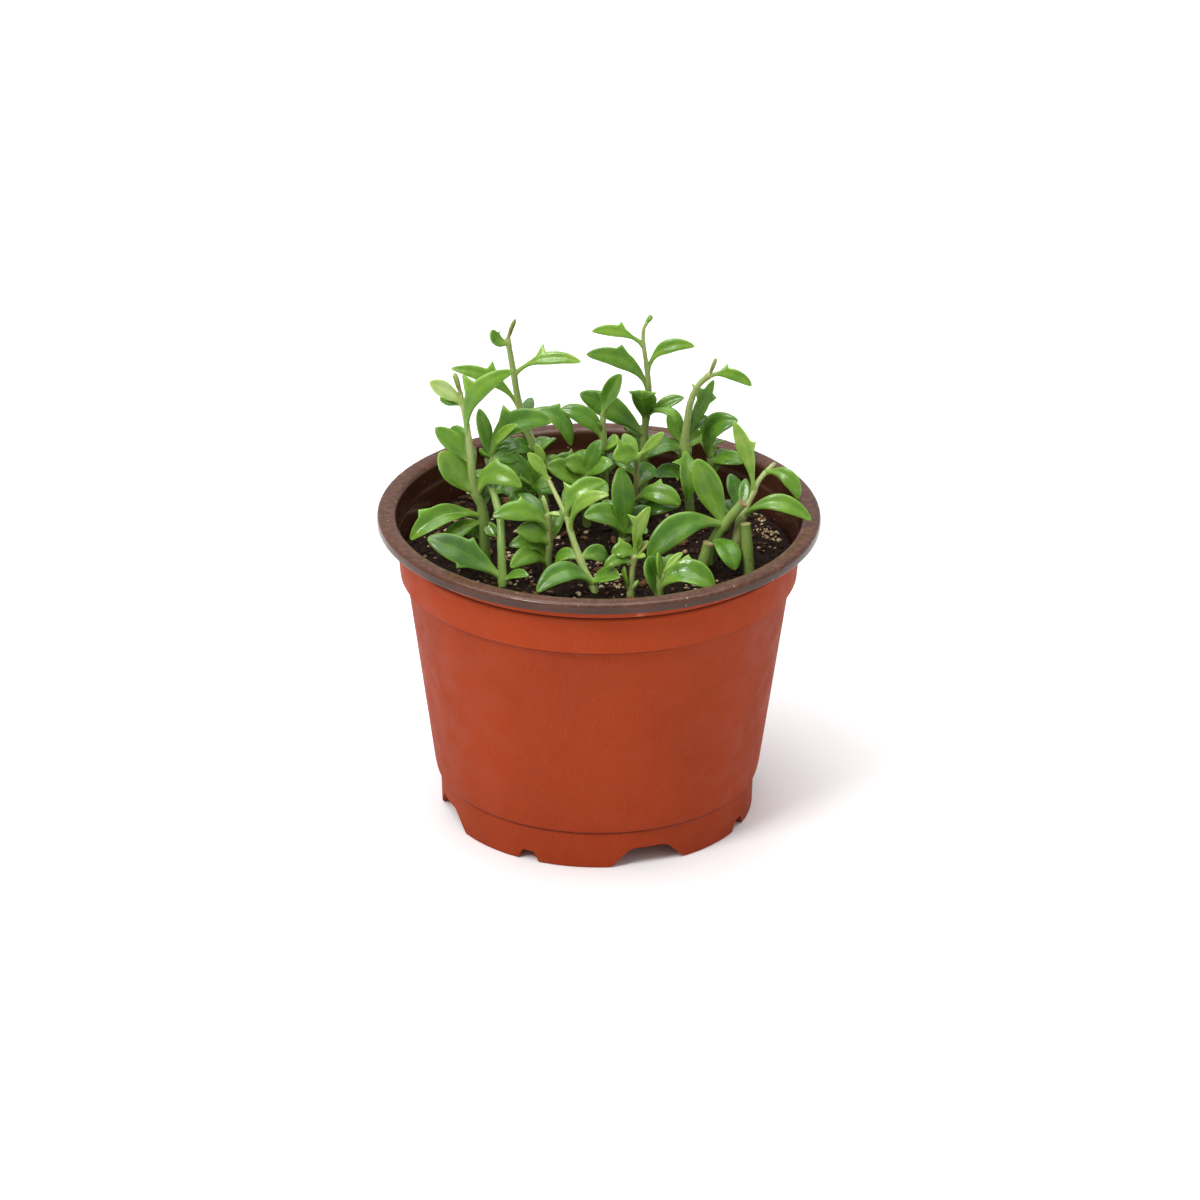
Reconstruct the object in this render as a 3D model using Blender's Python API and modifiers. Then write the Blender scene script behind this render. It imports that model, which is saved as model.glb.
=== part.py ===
"""Potted string of dolphins: a two-colour thermoformed nursery pot, its soil and its leafy stems.

Metres, +Z up. The origin is on the floor under the pot's centre, and -Y is the front.
Numbers in the tables are millimetres and degrees, and MM turns them into metres.
"""

import math

import bmesh
import bpy
from mathutils import Matrix, Vector

MM = 0.001
UP = Vector((0, 0, 1))

# Pot: radii and heights
RIM_RADIUS = 54.0
RIM_TOP = 78.0
MOUTH_RADIUS = 50.2
LIP_DROP = 2.6
LIP_THICK = 0.8
NECK_RADIUS = 49.7
GROOVE_Z = 72.1
COLLAR_RADIUS = 49.2
COLLAR_FOOT = (48.45, 62.3)
SHOULDER = (46.85, 61.4)
WALL_FOOT = (40.05, 11.6)
FOOT_TOP = (38.75, 9.4)
FOOT_RADIUS = 38.45
FOOT_EDGE = 0.35
RING_INNER = 32.0
FLOOR_UNDER = 5.3
WALL = 0.9
POT_STEPS = 48

# Foot ring: notch middles from the front, their half widths, and the drain holes
WIDE_NOTCHES = (19.3, 109.3, 199.3, 289.3)
WIDE_NOTCH = {"foot": 9.6, "top": 4.4, "height": 5.0}
SMALL_NOTCHES = (64.3, 154.3, 244.3, 334.3)
SMALL_NOTCH = {"foot": 2.9, "top": 1.5, "height": 2.8}
PAD_ARC = 20.0
PAD_MIDDLE_SHIFT = 28.1
DRAIN_RADIUS = 3.5
DRAIN_RING = 24.0

# Soil
GAP = 0.3
SOIL_LEVEL = 66.7
SOIL_RINGS = 15
SOIL_LUMP = 0.75
HOLE_DEPTH = 8.5
STEM_DEPTH = 8.0
HOLE_CLEARANCE = 0.4
HOLE_COLLAR = 3.4

# Leaves: lengths, and shares of the leaf's length or width
BASE_SHARE = 0.2
LEAST_HALF_WIDTH = 0.62
WIDEST = 0.6
FINS = {"T": 3.4, "L": 2.4, "R": 2.4, "l": 1.3, "r": 1.3}
FIN_LEAN = 0.05
THICKNESS_SHARE = 0.42
THICKNESS_RANGE = (1.3, 2.5)

# A shoot is its stem, its radii at the soil and at the tip, and its leaves.
# A stem is points (x, y, z) from the soil up.
# A leaf is (share of the stem, nose dx, dy, dz from there, arch, width, roll, fins, share of the fins).
# The arch lifts the midrib's middle off its chord. Roll turns the right margin down.
# Fins stand on the left or right margin, as seen from the stem: L or R is tall, l or r is low.
SHOOTS = {
    "leafy_stem_tall_left": {
        "stem": [
            (-13.5, 28, 67), (-16, 26.8, 82), (-18, 26, 88),
            (-20, 25.3, 96), (-21.2, 24.5, 104), (-22.6, 23.5, 113),
        ],
        "radii": (1.15, 0.68),
        "leaves": [
            (1.0, 1.8, -0.5, 5.8, 0.2, 1.4, 0, "", 0.5),
            (0.98, -3.8, -1, 3.9, -1.2, 3.6, -58, "r", 0.62),
            (0.79, 16.4, -3, 4.7, 2.6, 3.4, 62, "L", 0.47),
            (0.57, -17.2, 1, 10.8, 3.2, 3.6, -60, "R", 0.56),
            (0.50, 1.6, 5, 4.6, 0.4, 3.2, 0, "", 0.5),
            (0.56, 12.2, -3, -7.5, 4.6, 4.4, 48, "l", 0.45),
            (0.30, -6.8, -4, 2.8, 1.6, 4.6, -40, "", 0.5),
            (0.20, 6.0, 1, -0.4, 2.0, 4.8, 35, "", 0.5),
            (0.34, -6.0, 7, 3.0, 2.5, 4.8, 20, "R", 0.55),
            (0.28, 4.0, 8, 1.0, 2.2, 4.6, 0, "l", 0.5),
            (0.36, -2.4, -2.5, -4.6, 0.6, 3.0, -60, "", 0.5),
            (0.38, 3.0, -2.5, -5.0, 0.6, 2.6, 60, "", 0.5),
        ],
    },
    "leafy_stem_front_left": {
        "stem": [
            (-27.7, -4, 67), (-28.2, -5, 80), (-30.3, -5.6, 86),
            (-31.2, -6, 96), (-32, -5.6, 103), (-33.6, -3.5, 110.4),
        ],
        "radii": (1.41, 0.6),
        "leaves": [
            (1.0, -1.3, 0, 5.2, 0.2, 2.0, 0, "", 0.5),
            (0.94, -7.8, -1, 6.1, 0.3, 4.0, -65, "", 0.5),
            (0.93, -5.6, 2, 0.6, 0.8, 3.4, -55, "", 0.5),
            (0.73, 10.9, 1, 17.9, 5.0, 4.6, 66, "T", 0.56),
            (0.66, -4.9, 5, 4.0, 1.2, 4.2, -50, "", 0.5),
            (0.585, -8.8, 1, 9.2, 0.8, 4.8, -65, "", 0.5),
            (0.42, -8.4, -2, 11.2, -0.2, 6.6, -68, "", 0.5),
            (0.385, 10.8, -5, 4.9, 4.8, 5.2, 60, "l", 0.58),
            (0.25, -17.5, -6, -3.3, 3.8, 5.4, -40, "r", 0.72),
            (0.22, -10.2, -5, -2.8, 1.2, 4.0, -68, "", 0.5),
            (0.52, -3.0, 9, 3.5, 2.5, 4.8, 0, "L", 0.5),
            (0.30, 2.5, 8, 4.0, 2.5, 4.4, 20, "", 0.5),
            (0.22, 2.8, -3, -2.4, 0.4, 3.2, 40, "", 0.5),
            (0.10, -6.4, 2, 3.4, 1.2, 4.6, -50, "", 0.5),
        ],
    },
    "leafy_stem_left_column": {
        "stem": [
            (-23, -20, 67), (-23.5, -16.8, 76), (-23.8, -13, 81),
            (-25, -9, 84.6), (-26.3, -4.5, 87.6), (-26.4, 0, 91.5),
        ],
        "radii": (1.1, 0.79),
        "leaves": [
            (1.0, 15.0, 2, 9.0, 5.0, 5.8, 56, "L", 0.5),
            (0.97, -2.8, 4, 12.6, 0.3, 4.2, 0, "", 0.5),
            (1.0, -2.6, -2, 3.0, 0.4, 2.8, -20, "", 0.5),
            (0.97, 7.2, 2, -0.4, 1.8, 5.0, 40, "", 0.5),
            (0.05, -18.2, 5, 8.3, 1.2, 6.6, -50, "lr", 0.5),
            (0.03, 6.2, -3, 3.0, 0.8, 3.0, 30, "", 0.5),
            (0.90, 6.8, 1, -2.6, 1.8, 4.6, 45, "", 0.5),
            (1.0, 7.6, 4, 2.0, 1.2, 4.6, 30, "", 0.5),
            (1.0, 6.7, -2, 10.0, 1.6, 2.6, 58, "", 0.5),
        ],
    },
    "leafy_stem_back_centre": {
        "stem": [(1.5, 23, 67), (1.2, 23, 80), (0.8, 22, 93.5)],
        "radii": (1.01, 0.7),
        "leaves": [
            (1.0, 4.5, -1, 11.6, 0.6, 4.4, 72, "l", 0.40),
            (0.80, -1.4, -1.6, 4.2, 0.2, 1.1, 0, "", 0.5),
            (0.74, -10.6, 2, 7.4, 2.4, 4.8, -55, "", 0.5),
            (0.60, 3.7, -3, 4.6, 1.0, 5.0, 30, "", 0.5),
            (0.35, 5.0, 7, 3.0, 2.2, 4.6, 0, "L", 0.55),
            (0.30, -6.0, 8, 3.0, 2.5, 4.6, 0, "", 0.5),
            (0.60, -2.4, -3.4, 1.6, 1.2, 4.0, -30, "", 0.5),
            (0.45, -5.4, -4, 2.2, 1.6, 4.6, -40, "", 0.5),
        ],
    },
    "leafy_stem_tallest": {
        "stem": [
            (11.2, 31, 67), (11.1, 30, 84), (12, 28.5, 97.5), (11.3, 27, 105.6),
            (10.6, 26, 111), (10.6, 25.5, 115), (11.4, 25.4, 117),
        ],
        "radii": (1.19, 0.42),
        "leaves": [
            (1.0, 1.2, 0, 1.9, 0.1, 1.8, 0, "", 0.5),
            (0.87, -12.7, -1, 4.0, 1.8, 2.9, -62, "r", 0.5),
            (0.72, 11.6, -1, 7.0, 3.2, 3.4, 62, "", 0.5),
            (0.61, -15.4, -1.5, 9.9, 3.4, 4.6, -66, "r", 0.60),
            (0.45, -1.2, -5, 9.6, 0.6, 6.4, 0, "lr", 0.84),
            (0.46, 9.3, -1, 5.4, 0.9, 3.2, 50, "", 0.5),
            (0.48, 8.6, -4, -5.0, 4.2, 3.4, 20, "", 0.5),
            (0.35, -16.1, 1, 10.8, 1.4, 6.2, -66, "", 0.5),
            (0.22, 2.0, 9, 2.0, 2.0, 5.2, 0, "LR", 0.5),
            (0.30, -5.0, 6, 2.5, 1.5, 4.4, 0, "l", 0.5),
            (0.25, 6.8, -1, 3.6, 1.4, 4.8, 40, "", 0.5),
        ],
    },
    "leafy_stem_arched_right": {
        "stem": [
            (22.6, 23, 67), (21, 21, 85), (21.4, 20.5, 92),
            (22.2, 20, 98), (24, 19, 103), (26.8, 18, 106.4),
        ],
        "radii": (1.23, 0.7),
        "leaves": [
            (1.0, 1.4, 0, 4.4, 0.2, 1.3, 0, "", 0.5),
            (0.98, 10.8, -1.5, -1.7, 1.9, 3.0, 65, "l", 0.38),
            (0.47, 7.0, 3, 16.4, 0.4, 3.4, 72, "Tr", 0.76),
            (0.52, 5.6, 5, 3.6, 1.0, 3.2, 40, "", 0.5),
            (0.45, 3.8, 3.6, 3.4, 0.3, 4.2, 30, "", 0.5),
            (0.43, 0.8, -9.5, -8.6, 3.6, 4.8, -15, "LR", 0.40),
            (0.43, -9.8, -3.5, -0.3, 2.6, 4.6, -35, "", 0.5),
            (0.45, -4.2, 1, 8.7, -0.3, 2.6, -68, "", 0.5),
            (0.22, -8.0, -5, 3.5, 2.0, 4.6, -30, "l", 0.5),
            (0.30, -2.0, 9, 3.0, 2.4, 4.6, 0, "L", 0.5),
        ],
    },
    "leafy_stem_back_right": {
        "stem": [(28.4, 27, 67), (27.7, 26.5, 76), (27.5, 26, 81)],
        "radii": (1.01, 0.79),
        "leaves": [
            (1.0, 6.6, -2, 10.5, 4.0, 6.2, 50, "L", 0.42),
            (0.88, 7.8, -3.5, 1.4, 1.4, 4.4, 35, "", 0.5),
            (0.90, -1.0, 8, 2.0, 2.5, 4.6, 0, "R", 0.5),
            (0.60, 5.2, 6.5, 3.4, 2.4, 4.4, 20, "l", 0.55),
        ],
    },
    "leafy_stem_far_right": {
        "stem": [
            (33, -7, 67), (33.7, -5, 74.7), (34.8, -3.8, 78.6),
            (37.4, -1, 83.4), (38.9, 0.3, 86.4), (42.5, 4, 89),
        ],
        "radii": (1.32, 0.48),
        "leaves": [
            (0.67, -5.1, 4, 16.8, 1.4, 4.0, -65, "r", 0.63),
            (0.88, 7.8, -5, -4.8, 3.3, 3.8, 55, "", 0.5),
            (0.42, 16.8, -4, 1.2, 4.4, 4.4, 52, "", 0.5),
            (0.44, -3.0, 6, 8.4, 0.4, 4.4, 0, "", 0.5),
            (0.44, 0.8, 5, 7.6, 0.3, 3.2, 0, "", 0.5),
            (0.38, -4.0, 5, 3.4, 0.4, 4.0, -20, "", 0.5),
        ],
    },
    "leafy_stem_cut_right": {
        "stem": [(27, -6, 67), (27.9, -6.5, 73), (30.4, -7, 77.6), (34.6, -7.5, 83.4)],
        "radii": (1.28, 1.19),
        "leaves": [
            (0.60, -18.2, -8, -5.6, 4.8, 7.0, -48, "", 0.5),
            (0.60, -6.8, 3, 16.2, 0.2, 6.8, -65, "", 0.5),
            (0.33, 5.1, -9, -3.6, 2.4, 6.2, 0, "", 0.5),
        ],
    },
    "leafy_stem_front_right": {
        "stem": [(14.6, -27, 67), (15, -26.6, 73)],
        "radii": (1.06, 0.88),
        "leaves": [
            (0.50, 13.0, -3, 1.2, 4.0, 6.4, 44, "l", 0.5),
            (0.10, -2.8, 2, 9.6, 0.4, 6.8, -10, "", 0.5),
            (0.95, 5.2, 4, 4.6, 0.6, 2.0, 40, "", 0.5),
            (0.90, 4.6, 5, 3.0, 1.2, 4, 30, "l", 0.5),
            (0.60, -0.6, 0.6, 8.4, 0.3, 3.4, 30, "", 0.5),
        ],
    },
    "leafy_stem_front_middle": {
        "stem": [(7.8, -25, 67), (8, -25, 72), (8.7, -24, 77.2)],
        "radii": (0.84, 0.66),
        "leaves": [
            (1.0, 3.5, 1, 12.3, 1.1, 3.2, 65, "L", 0.66),
            (0.97, 1.4, 2.2, 4.4, 0.2, 2, 0, "", 0.5),
            (0.93, 2.6, -2, 1.2, 0.4, 2.0, 20, "", 0.5),
            (0.93, -5.4, -1, 0.8, 1.8, 4.0, -52, "r", 0.6),
            (0.76, -6.9, -2, -0.1, 2.0, 3.2, -50, "", 0.6),
            (0.05, -1.6, -0.6, 7.4, -0.3, 2.0, -20, "", 0.5),
            (0.05, 1.7, -0.4, 3.6, 0.2, 1.6, 0, "", 0.5),
            (0.95, 3.2, 2.4, 3.2, 0, 2.6, 0, "", 0.5),
        ],
    },
    "leafy_stem_leaning": {
        "stem": [
            (-0.9, -22.5, 67), (-3.5, -20.5, 71.8), (-6.4, -17, 78.7),
            (-7.8, -14.8, 82.8), (-9.6, -12.5, 86), (-12.2, -9, 90),
        ],
        "radii": (1.01, 0.48),
        "leaves": [
            (1.0, -5.1, 1, 6.7, 0.3, 3.0, -62, "", 0.5),
            (0.66, 9.4, 2, 8.1, 2.8, 4.8, 55, "L", 0.40),
            (0.53, 9.2, -3, 11.0, 3.2, 3.6, 56, "", 0.5),
            (0.28, -6.0, 3, -2.7, 2.0, 3.8, -40, "", 0.5),
            (0.28, 6.4, 3, -1.7, 2.0, 4.4, 45, "", 0.5),
            (0.04, -13.4, -7, 1.6, 4.6, 5.6, -40, "", 0.5),
            (0.06, 6.6, -6, 4.4, 1.2, 4.6, 40, "", 0.5),
        ],
    },
    "leafy_stem_front_low": {
        "stem": [(-12.4, -12, 67), (-11.9, -13.2, 77.4), (-12.2, -14, 83.2)],
        "radii": (0.97, 0.62),
        "leaves": [
            (1.0, -1.3, 0, 5.0, 0.2, 1.4, 0, "", 0.5),
            (1.0, 2.8, -1.6, 0.4, 0.4, 1.7, 0, "", 0.5),
            (0.75, -13.6, -3, 4.3, 3.0, 5.0, -52, "r", 0.56),
            (0.85, -7.5, 5, 5.2, 1.2, 3.0, -40, "", 0.5),
            (0.48, -7.7, -3, 4.6, 1.4, 5.4, -62, "r", 0.6),
            (0.45, 3.0, 5, 7.2, 0.5, 3.4, 20, "", 0.5),
            (0.16, -9.4, -2, 5.2, 3.4, 4.2, -48, "", 0.5),
            (0.06, -8.8, -7.2, 3.4, 3.4, 4.8, -48, "", 0.5),
        ],
    },
    "leafy_stem_purple": {
        "stem": [(8.8, 8, 67), (8.9, 7.4, 76), (9.1, 7, 82.7), (9.3, 6, 89.8)],
        "radii": (0.72, 0.55),
        "leaves": [
            (1.0, 6.3, 0, 6.4, -0.2, 2.8, 62, "", 0.5),
            (0.96, -5.8, -5, 2.2, 1.4, 5.4, -58, "R", 0.70),
            (0.93, -3.4, 4.5, 5.4, 0.2, 4.0, -20, "", 0.5),
            (0.47, 10.9, -4, 0.4, 2.4, 5.0, 58, "l", 0.5),
            (0.62, 4.6, 6.5, 2.2, 1.4, 4.8, 30, "", 0.5),
            (0.35, -5.5, 7, 3.5, 2.2, 4.6, 0, "r", 0.5),
            (0.20, 10.8, -1, 4.6, 2.2, 5.2, 40, "", 0.5),
            (0.75, -4.8, 5, 3.0, 1.2, 4.6, -40, "", 0.5),
            (0.30, -4.0, 5.5, 6.0, 0.8, 4.4, -10, "", 0.5),
        ],
    },
    "leafy_stem_middle": {
        "stem": [(6.3, -1, 67), (6.2, -1, 71.5)],
        "radii": (1.1, 0.97),
        "leaves": [
            (0.95, -1.2, 4, 16.8, 1.0, 5.8, 0, "", 0.5),
            (0.85, -9.9, -3, 7.4, 3.2, 6.2, -45, "", 0.5),
            (0.80, 5.5, -5, 4.0, 2.2, 4.2, 20, "", 0.5),
            (0.90, -5.4, 5, 7.6, 1.0, 5.2, -40, "", 0.5),
            (0.90, 5.8, 4, 6.6, 1.0, 5.0, 40, "", 0.5),
        ],
    },
    "leafy_stem_centre_back": {
        "stem": [(-3, 16, 67), (-3.4, 16.2, 74), (-3.3, 16.6, 80)],
        "radii": (1.06, 0.84),
        "leaves": [
            (0.97, 3.6, 2, 9.0, 0.4, 4.4, 20, "", 0.5),
            (0.95, 6.6, -2, 4.6, 1.2, 4.6, 45, "", 0.5),
            (1.0, -2.6, 3, 4.8, 0.4, 4.6, -10, "", 0.5),
            (0.97, -5.4, -1, 4.0, 1.4, 5.2, -50, "", 0.5),
            (0.72, -9.4, -3, 7.2, 1.4, 6.0, -55, "", 0.5),
            (0.50, 1.5, -9, 2.0, 3.0, 4.8, 0, "", 0.5),
            (0.60, 5.4, -7, 3.4, 1.8, 5.0, 20, "", 0.5),
            (0.60, -5.2, -8, 1.0, 2.2, 4.8, -20, "", 0.5),
        ],
    },
    "leafy_stem_inner_left": {
        "stem": [(-16, 9, 67), (-16.4, 9.5, 74), (-16.8, 10, 80)],
        "radii": (1.06, 0.79),
        "leaves": [
            (0.98, -7.0, -1, 8.6, 1.6, 4.8, -45, "", 0.5),
            (0.95, 1.6, 3.0, 7.4, 0.6, 4.4, 0, "", 0.5),
            (0.80, 5.0, -2, 3.4, 1.8, 4.4, 45, "r", 0.55),
            (0.60, -8.0, 2, 3.2, 2.2, 5, -40, "", 0.5),
            (0.55, 0.5, -7.5, 2.4, 2.4, 4.6, 0, "l", 0.5),
            (0.90, -3.2, -4, 5.4, 1.0, 4.6, -30, "", 0.5),
            (0.70, -5.0, -6, 1.5, 1.8, 4.6, -40, "", 0.5),
            (0.90, 5.6, -3, 0.6, 1.6, 4.6, 45, "", 0.5),
        ],
    },
    "leafy_stem_back_low": {
        "stem": [(-4, 36, 67), (-4.2, 36, 71.5)],
        "radii": (0.97, 0.84),
        "leaves": [
            (0.95, -7.5, -2, 4.6, 1.8, 4.6, -45, "r", 0.55),
            (0.95, 6.5, 1.5, 4.0, 1.8, 4.6, 45, "", 0.5),
            (0.80, 0.5, 7.0, 4.6, 1.2, 4.8, 0, "L", 0.55),
        ],
    },
    "leafy_stem_back_left": {
        "stem": [(-25, 21, 67), (-25.3, 21, 72.5)],
        "radii": (1.01, 0.88),
        "leaves": [
            (0.95, -6.0, 5, 4.2, 2.0, 4.8, 0, "R", 0.55),
            (0.95, 5.5, 3.5, 5.2, 1.6, 4.8, 40, "", 0.5),
            (0.80, -7.5, -4, 3.4, 2.0, 4.8, -40, "l", 0.5),
            (0.80, 4.0, -6, 4.6, 1.6, 4.8, 20, "", 0.5),
        ],
    },
}

# Cut stems with no leaves: their points and radii
STUBS = {
    "stem_stub_front": {"stem": [(24.6, -13.5, 67), (26.4, -12.8, 75)], "radii": (1.45, 1.25)},
    "stem_stub_right": {"stem": [(36.4, -12, 67), (35.5, -9.8, 78.8)], "radii": (1.45, 1.25)},
}

# Colours, linear RGB
TERRACOTTA = (0.41, 0.065, 0.021)
SOIL_BROWN = (0.021, 0.010, 0.006)
LEAF_GREEN = (0.09, 0.27, 0.035)
STUB_GREEN = (0.11, 0.18, 0.03)


def clear_scene():
    for obj in list(bpy.data.objects):
        bpy.data.objects.remove(obj, do_unlink=True)


def new_collection(name):
    collection = bpy.data.collections.new(name)
    bpy.context.scene.collection.children.link(collection)
    return collection


def new_object(name, mesh, collection):
    obj = bpy.data.objects.new(name, mesh)
    collection.objects.link(obj)
    return obj


def as_cutter(obj):
    obj.hide_render = True
    obj.display_type = "WIRE"
    return obj


def principled(name, colour, roughness):
    material = bpy.data.materials.new(name)
    material.use_nodes = True
    shader = material.node_tree.nodes["Principled BSDF"]
    shader.inputs["Base Color"].default_value = (*colour, 1)
    shader.inputs["Roughness"].default_value = roughness
    shader.inputs["Metallic"].default_value = 0.0
    return material


def applied(obj, sharp_degrees=40):
    """Turns the object into the mesh that its modifiers or its curve make, shaded smooth."""
    graph = bpy.context.evaluated_depsgraph_get()
    mesh = bpy.data.meshes.new_from_object(obj.evaluated_get(graph))
    if obj.type == "CURVE":
        work = bmesh.new()
        work.from_mesh(mesh)
        bmesh.ops.remove_doubles(work, verts=work.verts, dist=0.01 * MM)
        work.to_mesh(mesh)
        work.free()
        made = new_object(obj.name + "_mesh", mesh, obj.users_collection[0])
        made.matrix_world = obj.matrix_world
        name = obj.name
        bpy.data.objects.remove(obj)
        made.name = name
        obj = made
    else:
        obj.modifiers.clear()
        obj.data = mesh
    obj.data.shade_smooth()
    obj.data.set_sharp_from_angle(angle=math.radians(sharp_degrees))
    return obj


def boolean(obj, operation, collection, solver="EXACT"):
    modifier = obj.modifiers.new(operation.title(), "BOOLEAN")
    modifier.operation = operation
    modifier.operand_type = "COLLECTION"
    modifier.collection = collection
    modifier.solver = solver


def turned(name, profile, steps, collection):
    """A profile of (radius, height) in mm, turned about Z. It runs down the outer side."""
    mesh = bpy.data.meshes.new(name)
    points = [(radius * MM, 0, height * MM) for radius, height in profile]
    mesh.from_pydata(points, [(i, i + 1) for i in range(len(points) - 1)], [])
    obj = new_object(name, mesh, collection)
    screw = obj.modifiers.new("Turn", "SCREW")
    screw.steps = steps
    screw.render_steps = steps
    screw.use_merge_vertices = True
    screw.merge_threshold = 0.01 * MM
    return obj


def prism(name, corners, shift, collection):
    """A closed prism: the flat face through the corners, pushed out along shift."""
    work = bmesh.new()
    face = work.faces.new([work.verts.new(corner) for corner in corners])
    pushed = bmesh.ops.extrude_face_region(work, geom=[face])
    moved = [v for v in pushed["geom"] if isinstance(v, bmesh.types.BMVert)]
    bmesh.ops.translate(work, verts=moved, vec=shift)
    bmesh.ops.recalc_face_normals(work, faces=work.faces)
    mesh = bpy.data.meshes.new(name)
    work.to_mesh(mesh)
    work.free()
    return as_cutter(new_object(name, mesh, collection))


def front_direction(degrees):
    """The level direction at this angle from the front, towards +X."""
    angle = math.radians(degrees)
    return Vector((math.sin(angle), -math.cos(angle), 0))


def pot_outer():
    """Down the outside: over the flange, round its lip, the neck, the collar, the wall, the foot ring."""
    lip_foot = RIM_TOP - LIP_DROP
    under_flange = RIM_TOP - LIP_THICK
    return [
        (MOUTH_RADIUS - 0.9, RIM_TOP - 0.9),
        (MOUTH_RADIUS - 0.55, RIM_TOP - 0.2),
        (MOUTH_RADIUS, RIM_TOP),
        (RIM_RADIUS - 0.6, RIM_TOP),
        (RIM_RADIUS, RIM_TOP - 0.6),
        (RIM_RADIUS, lip_foot),
        (RIM_RADIUS - LIP_THICK, lip_foot),
        (RIM_RADIUS - LIP_THICK, under_flange),
        (NECK_RADIUS + 0.5, under_flange),
        (NECK_RADIUS, GROOVE_Z + 0.3),
        (NECK_RADIUS - 0.5, GROOVE_Z),
        (COLLAR_RADIUS, GROOVE_Z - 0.4),
        COLLAR_FOOT,
        SHOULDER,
        WALL_FOOT,
        (FOOT_TOP[0] + 0.9, FOOT_TOP[1] + 0.8),
        FOOT_TOP,
        (FOOT_RADIUS, FOOT_EDGE),
        (FOOT_RADIUS - FOOT_EDGE, 0.0),
        (RING_INNER, 0.0),
        (RING_INNER - 0.3, FLOOR_UNDER),
        (0.0, FLOOR_UNDER),
    ]


def pot_inner(gap=0.0):
    """Up the inside from the floor's centre, or the soil's side where a gap is given."""
    inset = WALL + gap
    return [
        (FOOT_TOP[0] - inset - 0.6, FLOOR_UNDER + inset),
        (FOOT_TOP[0] - inset, FLOOR_UNDER + inset + 0.7),
        (FOOT_TOP[0] - inset, FOOT_TOP[1]),
        (WALL_FOOT[0] - inset, WALL_FOOT[1] + 1),
        (SHOULDER[0] - inset, SHOULDER[1]),
        (COLLAR_FOOT[0] - inset, COLLAR_FOOT[1]),
    ]


def notch_cutter(name, degrees, notch, collection):
    """A notch through the foot ring, with rounded corners at its top and where it meets the floor."""
    out = front_direction(degrees)
    side = UP.cross(out)
    half = [
        (notch["foot"] + 1.2, -0.6),
        (notch["foot"] + 0.3, 0.3),
        (notch["foot"] - 0.5, 1.1),
        (notch["top"] + 0.5, notch["height"] - 0.7),
        (notch["top"] - 0.6, notch["height"]),
    ]
    outline = half + [(-across, height) for across, height in reversed(half)]
    start = out * (RING_INNER - 3)
    corners = [(start + side * across + UP * height) * MM for across, height in outline]
    prism(name, corners, out * 14 * MM, collection)


def pad_pocket(name, degrees, collection):
    """The hollow of one foot pad, open to the inside of the pot."""
    outer = FOOT_RADIUS - WALL
    inner = RING_INNER + WALL
    angles = [degrees + PAD_ARC * share for share in (-0.5, -0.17, 0.17, 0.5)]
    rim = [front_direction(angle) * outer for angle in angles]
    heel = [front_direction(angle) * inner for angle in reversed(angles)]
    corners = [(point + UP * WALL) * MM for point in rim + heel]
    prism(name, corners, UP * 8 * MM, collection)


def drain_hole(name, centre, collection):
    work = bmesh.new()
    bmesh.ops.create_cone(
        work, cap_ends=True, segments=16, radius1=DRAIN_RADIUS * MM, radius2=DRAIN_RADIUS * MM, depth=6 * MM
    )
    bmesh.ops.translate(work, verts=work.verts, vec=(centre + UP * (FLOOR_UNDER + 0.5)) * MM)
    mesh = bpy.data.meshes.new(name)
    work.to_mesh(mesh)
    work.free()
    as_cutter(new_object(name, mesh, collection))


def make_pot(parts, cutters):
    """One thermoformed sheet: the turned shell less its notches, the pads' hollows and the drain holes."""
    bottom = (0.0, FLOOR_UNDER + WALL)
    inside = [bottom, *pot_inner(), (NECK_RADIUS - 1.2, GROOVE_Z), (NECK_RADIUS - 0.8, GROOVE_Z + 1)]
    pot = turned("pot", inside + pot_outer(), POT_STEPS, parts)
    for number, degrees in enumerate(WIDE_NOTCHES):
        notch_cutter(f"wide_notch_{number}", degrees, WIDE_NOTCH, cutters)
        pad_pocket(f"pad_after_{number}", degrees + PAD_MIDDLE_SHIFT, cutters)
        pad_pocket(f"pad_before_{number}", degrees - PAD_MIDDLE_SHIFT, cutters)
        drain_hole(f"drain_{number}", front_direction(degrees) * DRAIN_RING, cutters)
    for number, degrees in enumerate(SMALL_NOTCHES):
        notch_cutter(f"small_notch_{number}", degrees, SMALL_NOTCH, cutters)
    drain_hole("drain_middle", Vector((0, 0, 0)), cutters)
    boolean(pot, "DIFFERENCE", cutters)
    applied(pot)
    pot.data.materials.append(principled("pot_plastic", TERRACOTTA, 0.55))


def soil_height(x, y, feet):
    """Lumpy peat with raised grains, level close to each stem."""
    lumps = math.sin(0.55 * x + 1.3) * math.cos(0.47 * y - 0.6) + 0.7 * math.sin(1.37 * x - 1.91 * y)
    grains = max(0.0, math.sin(2.3 * x + 0.9 * y) * math.sin(1.7 * y - 1.1 * x) - 0.45) * 2.2
    nearest = min(math.hypot(x - foot.x, y - foot.y) for foot in feet)
    calm = min(1.0, max(0.0, nearest - HOLE_COLLAR) / 2.5)
    return SOIL_LEVEL + (SOIL_LUMP * lumps + grains) * calm - 0.4 * (1 - calm)


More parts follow.
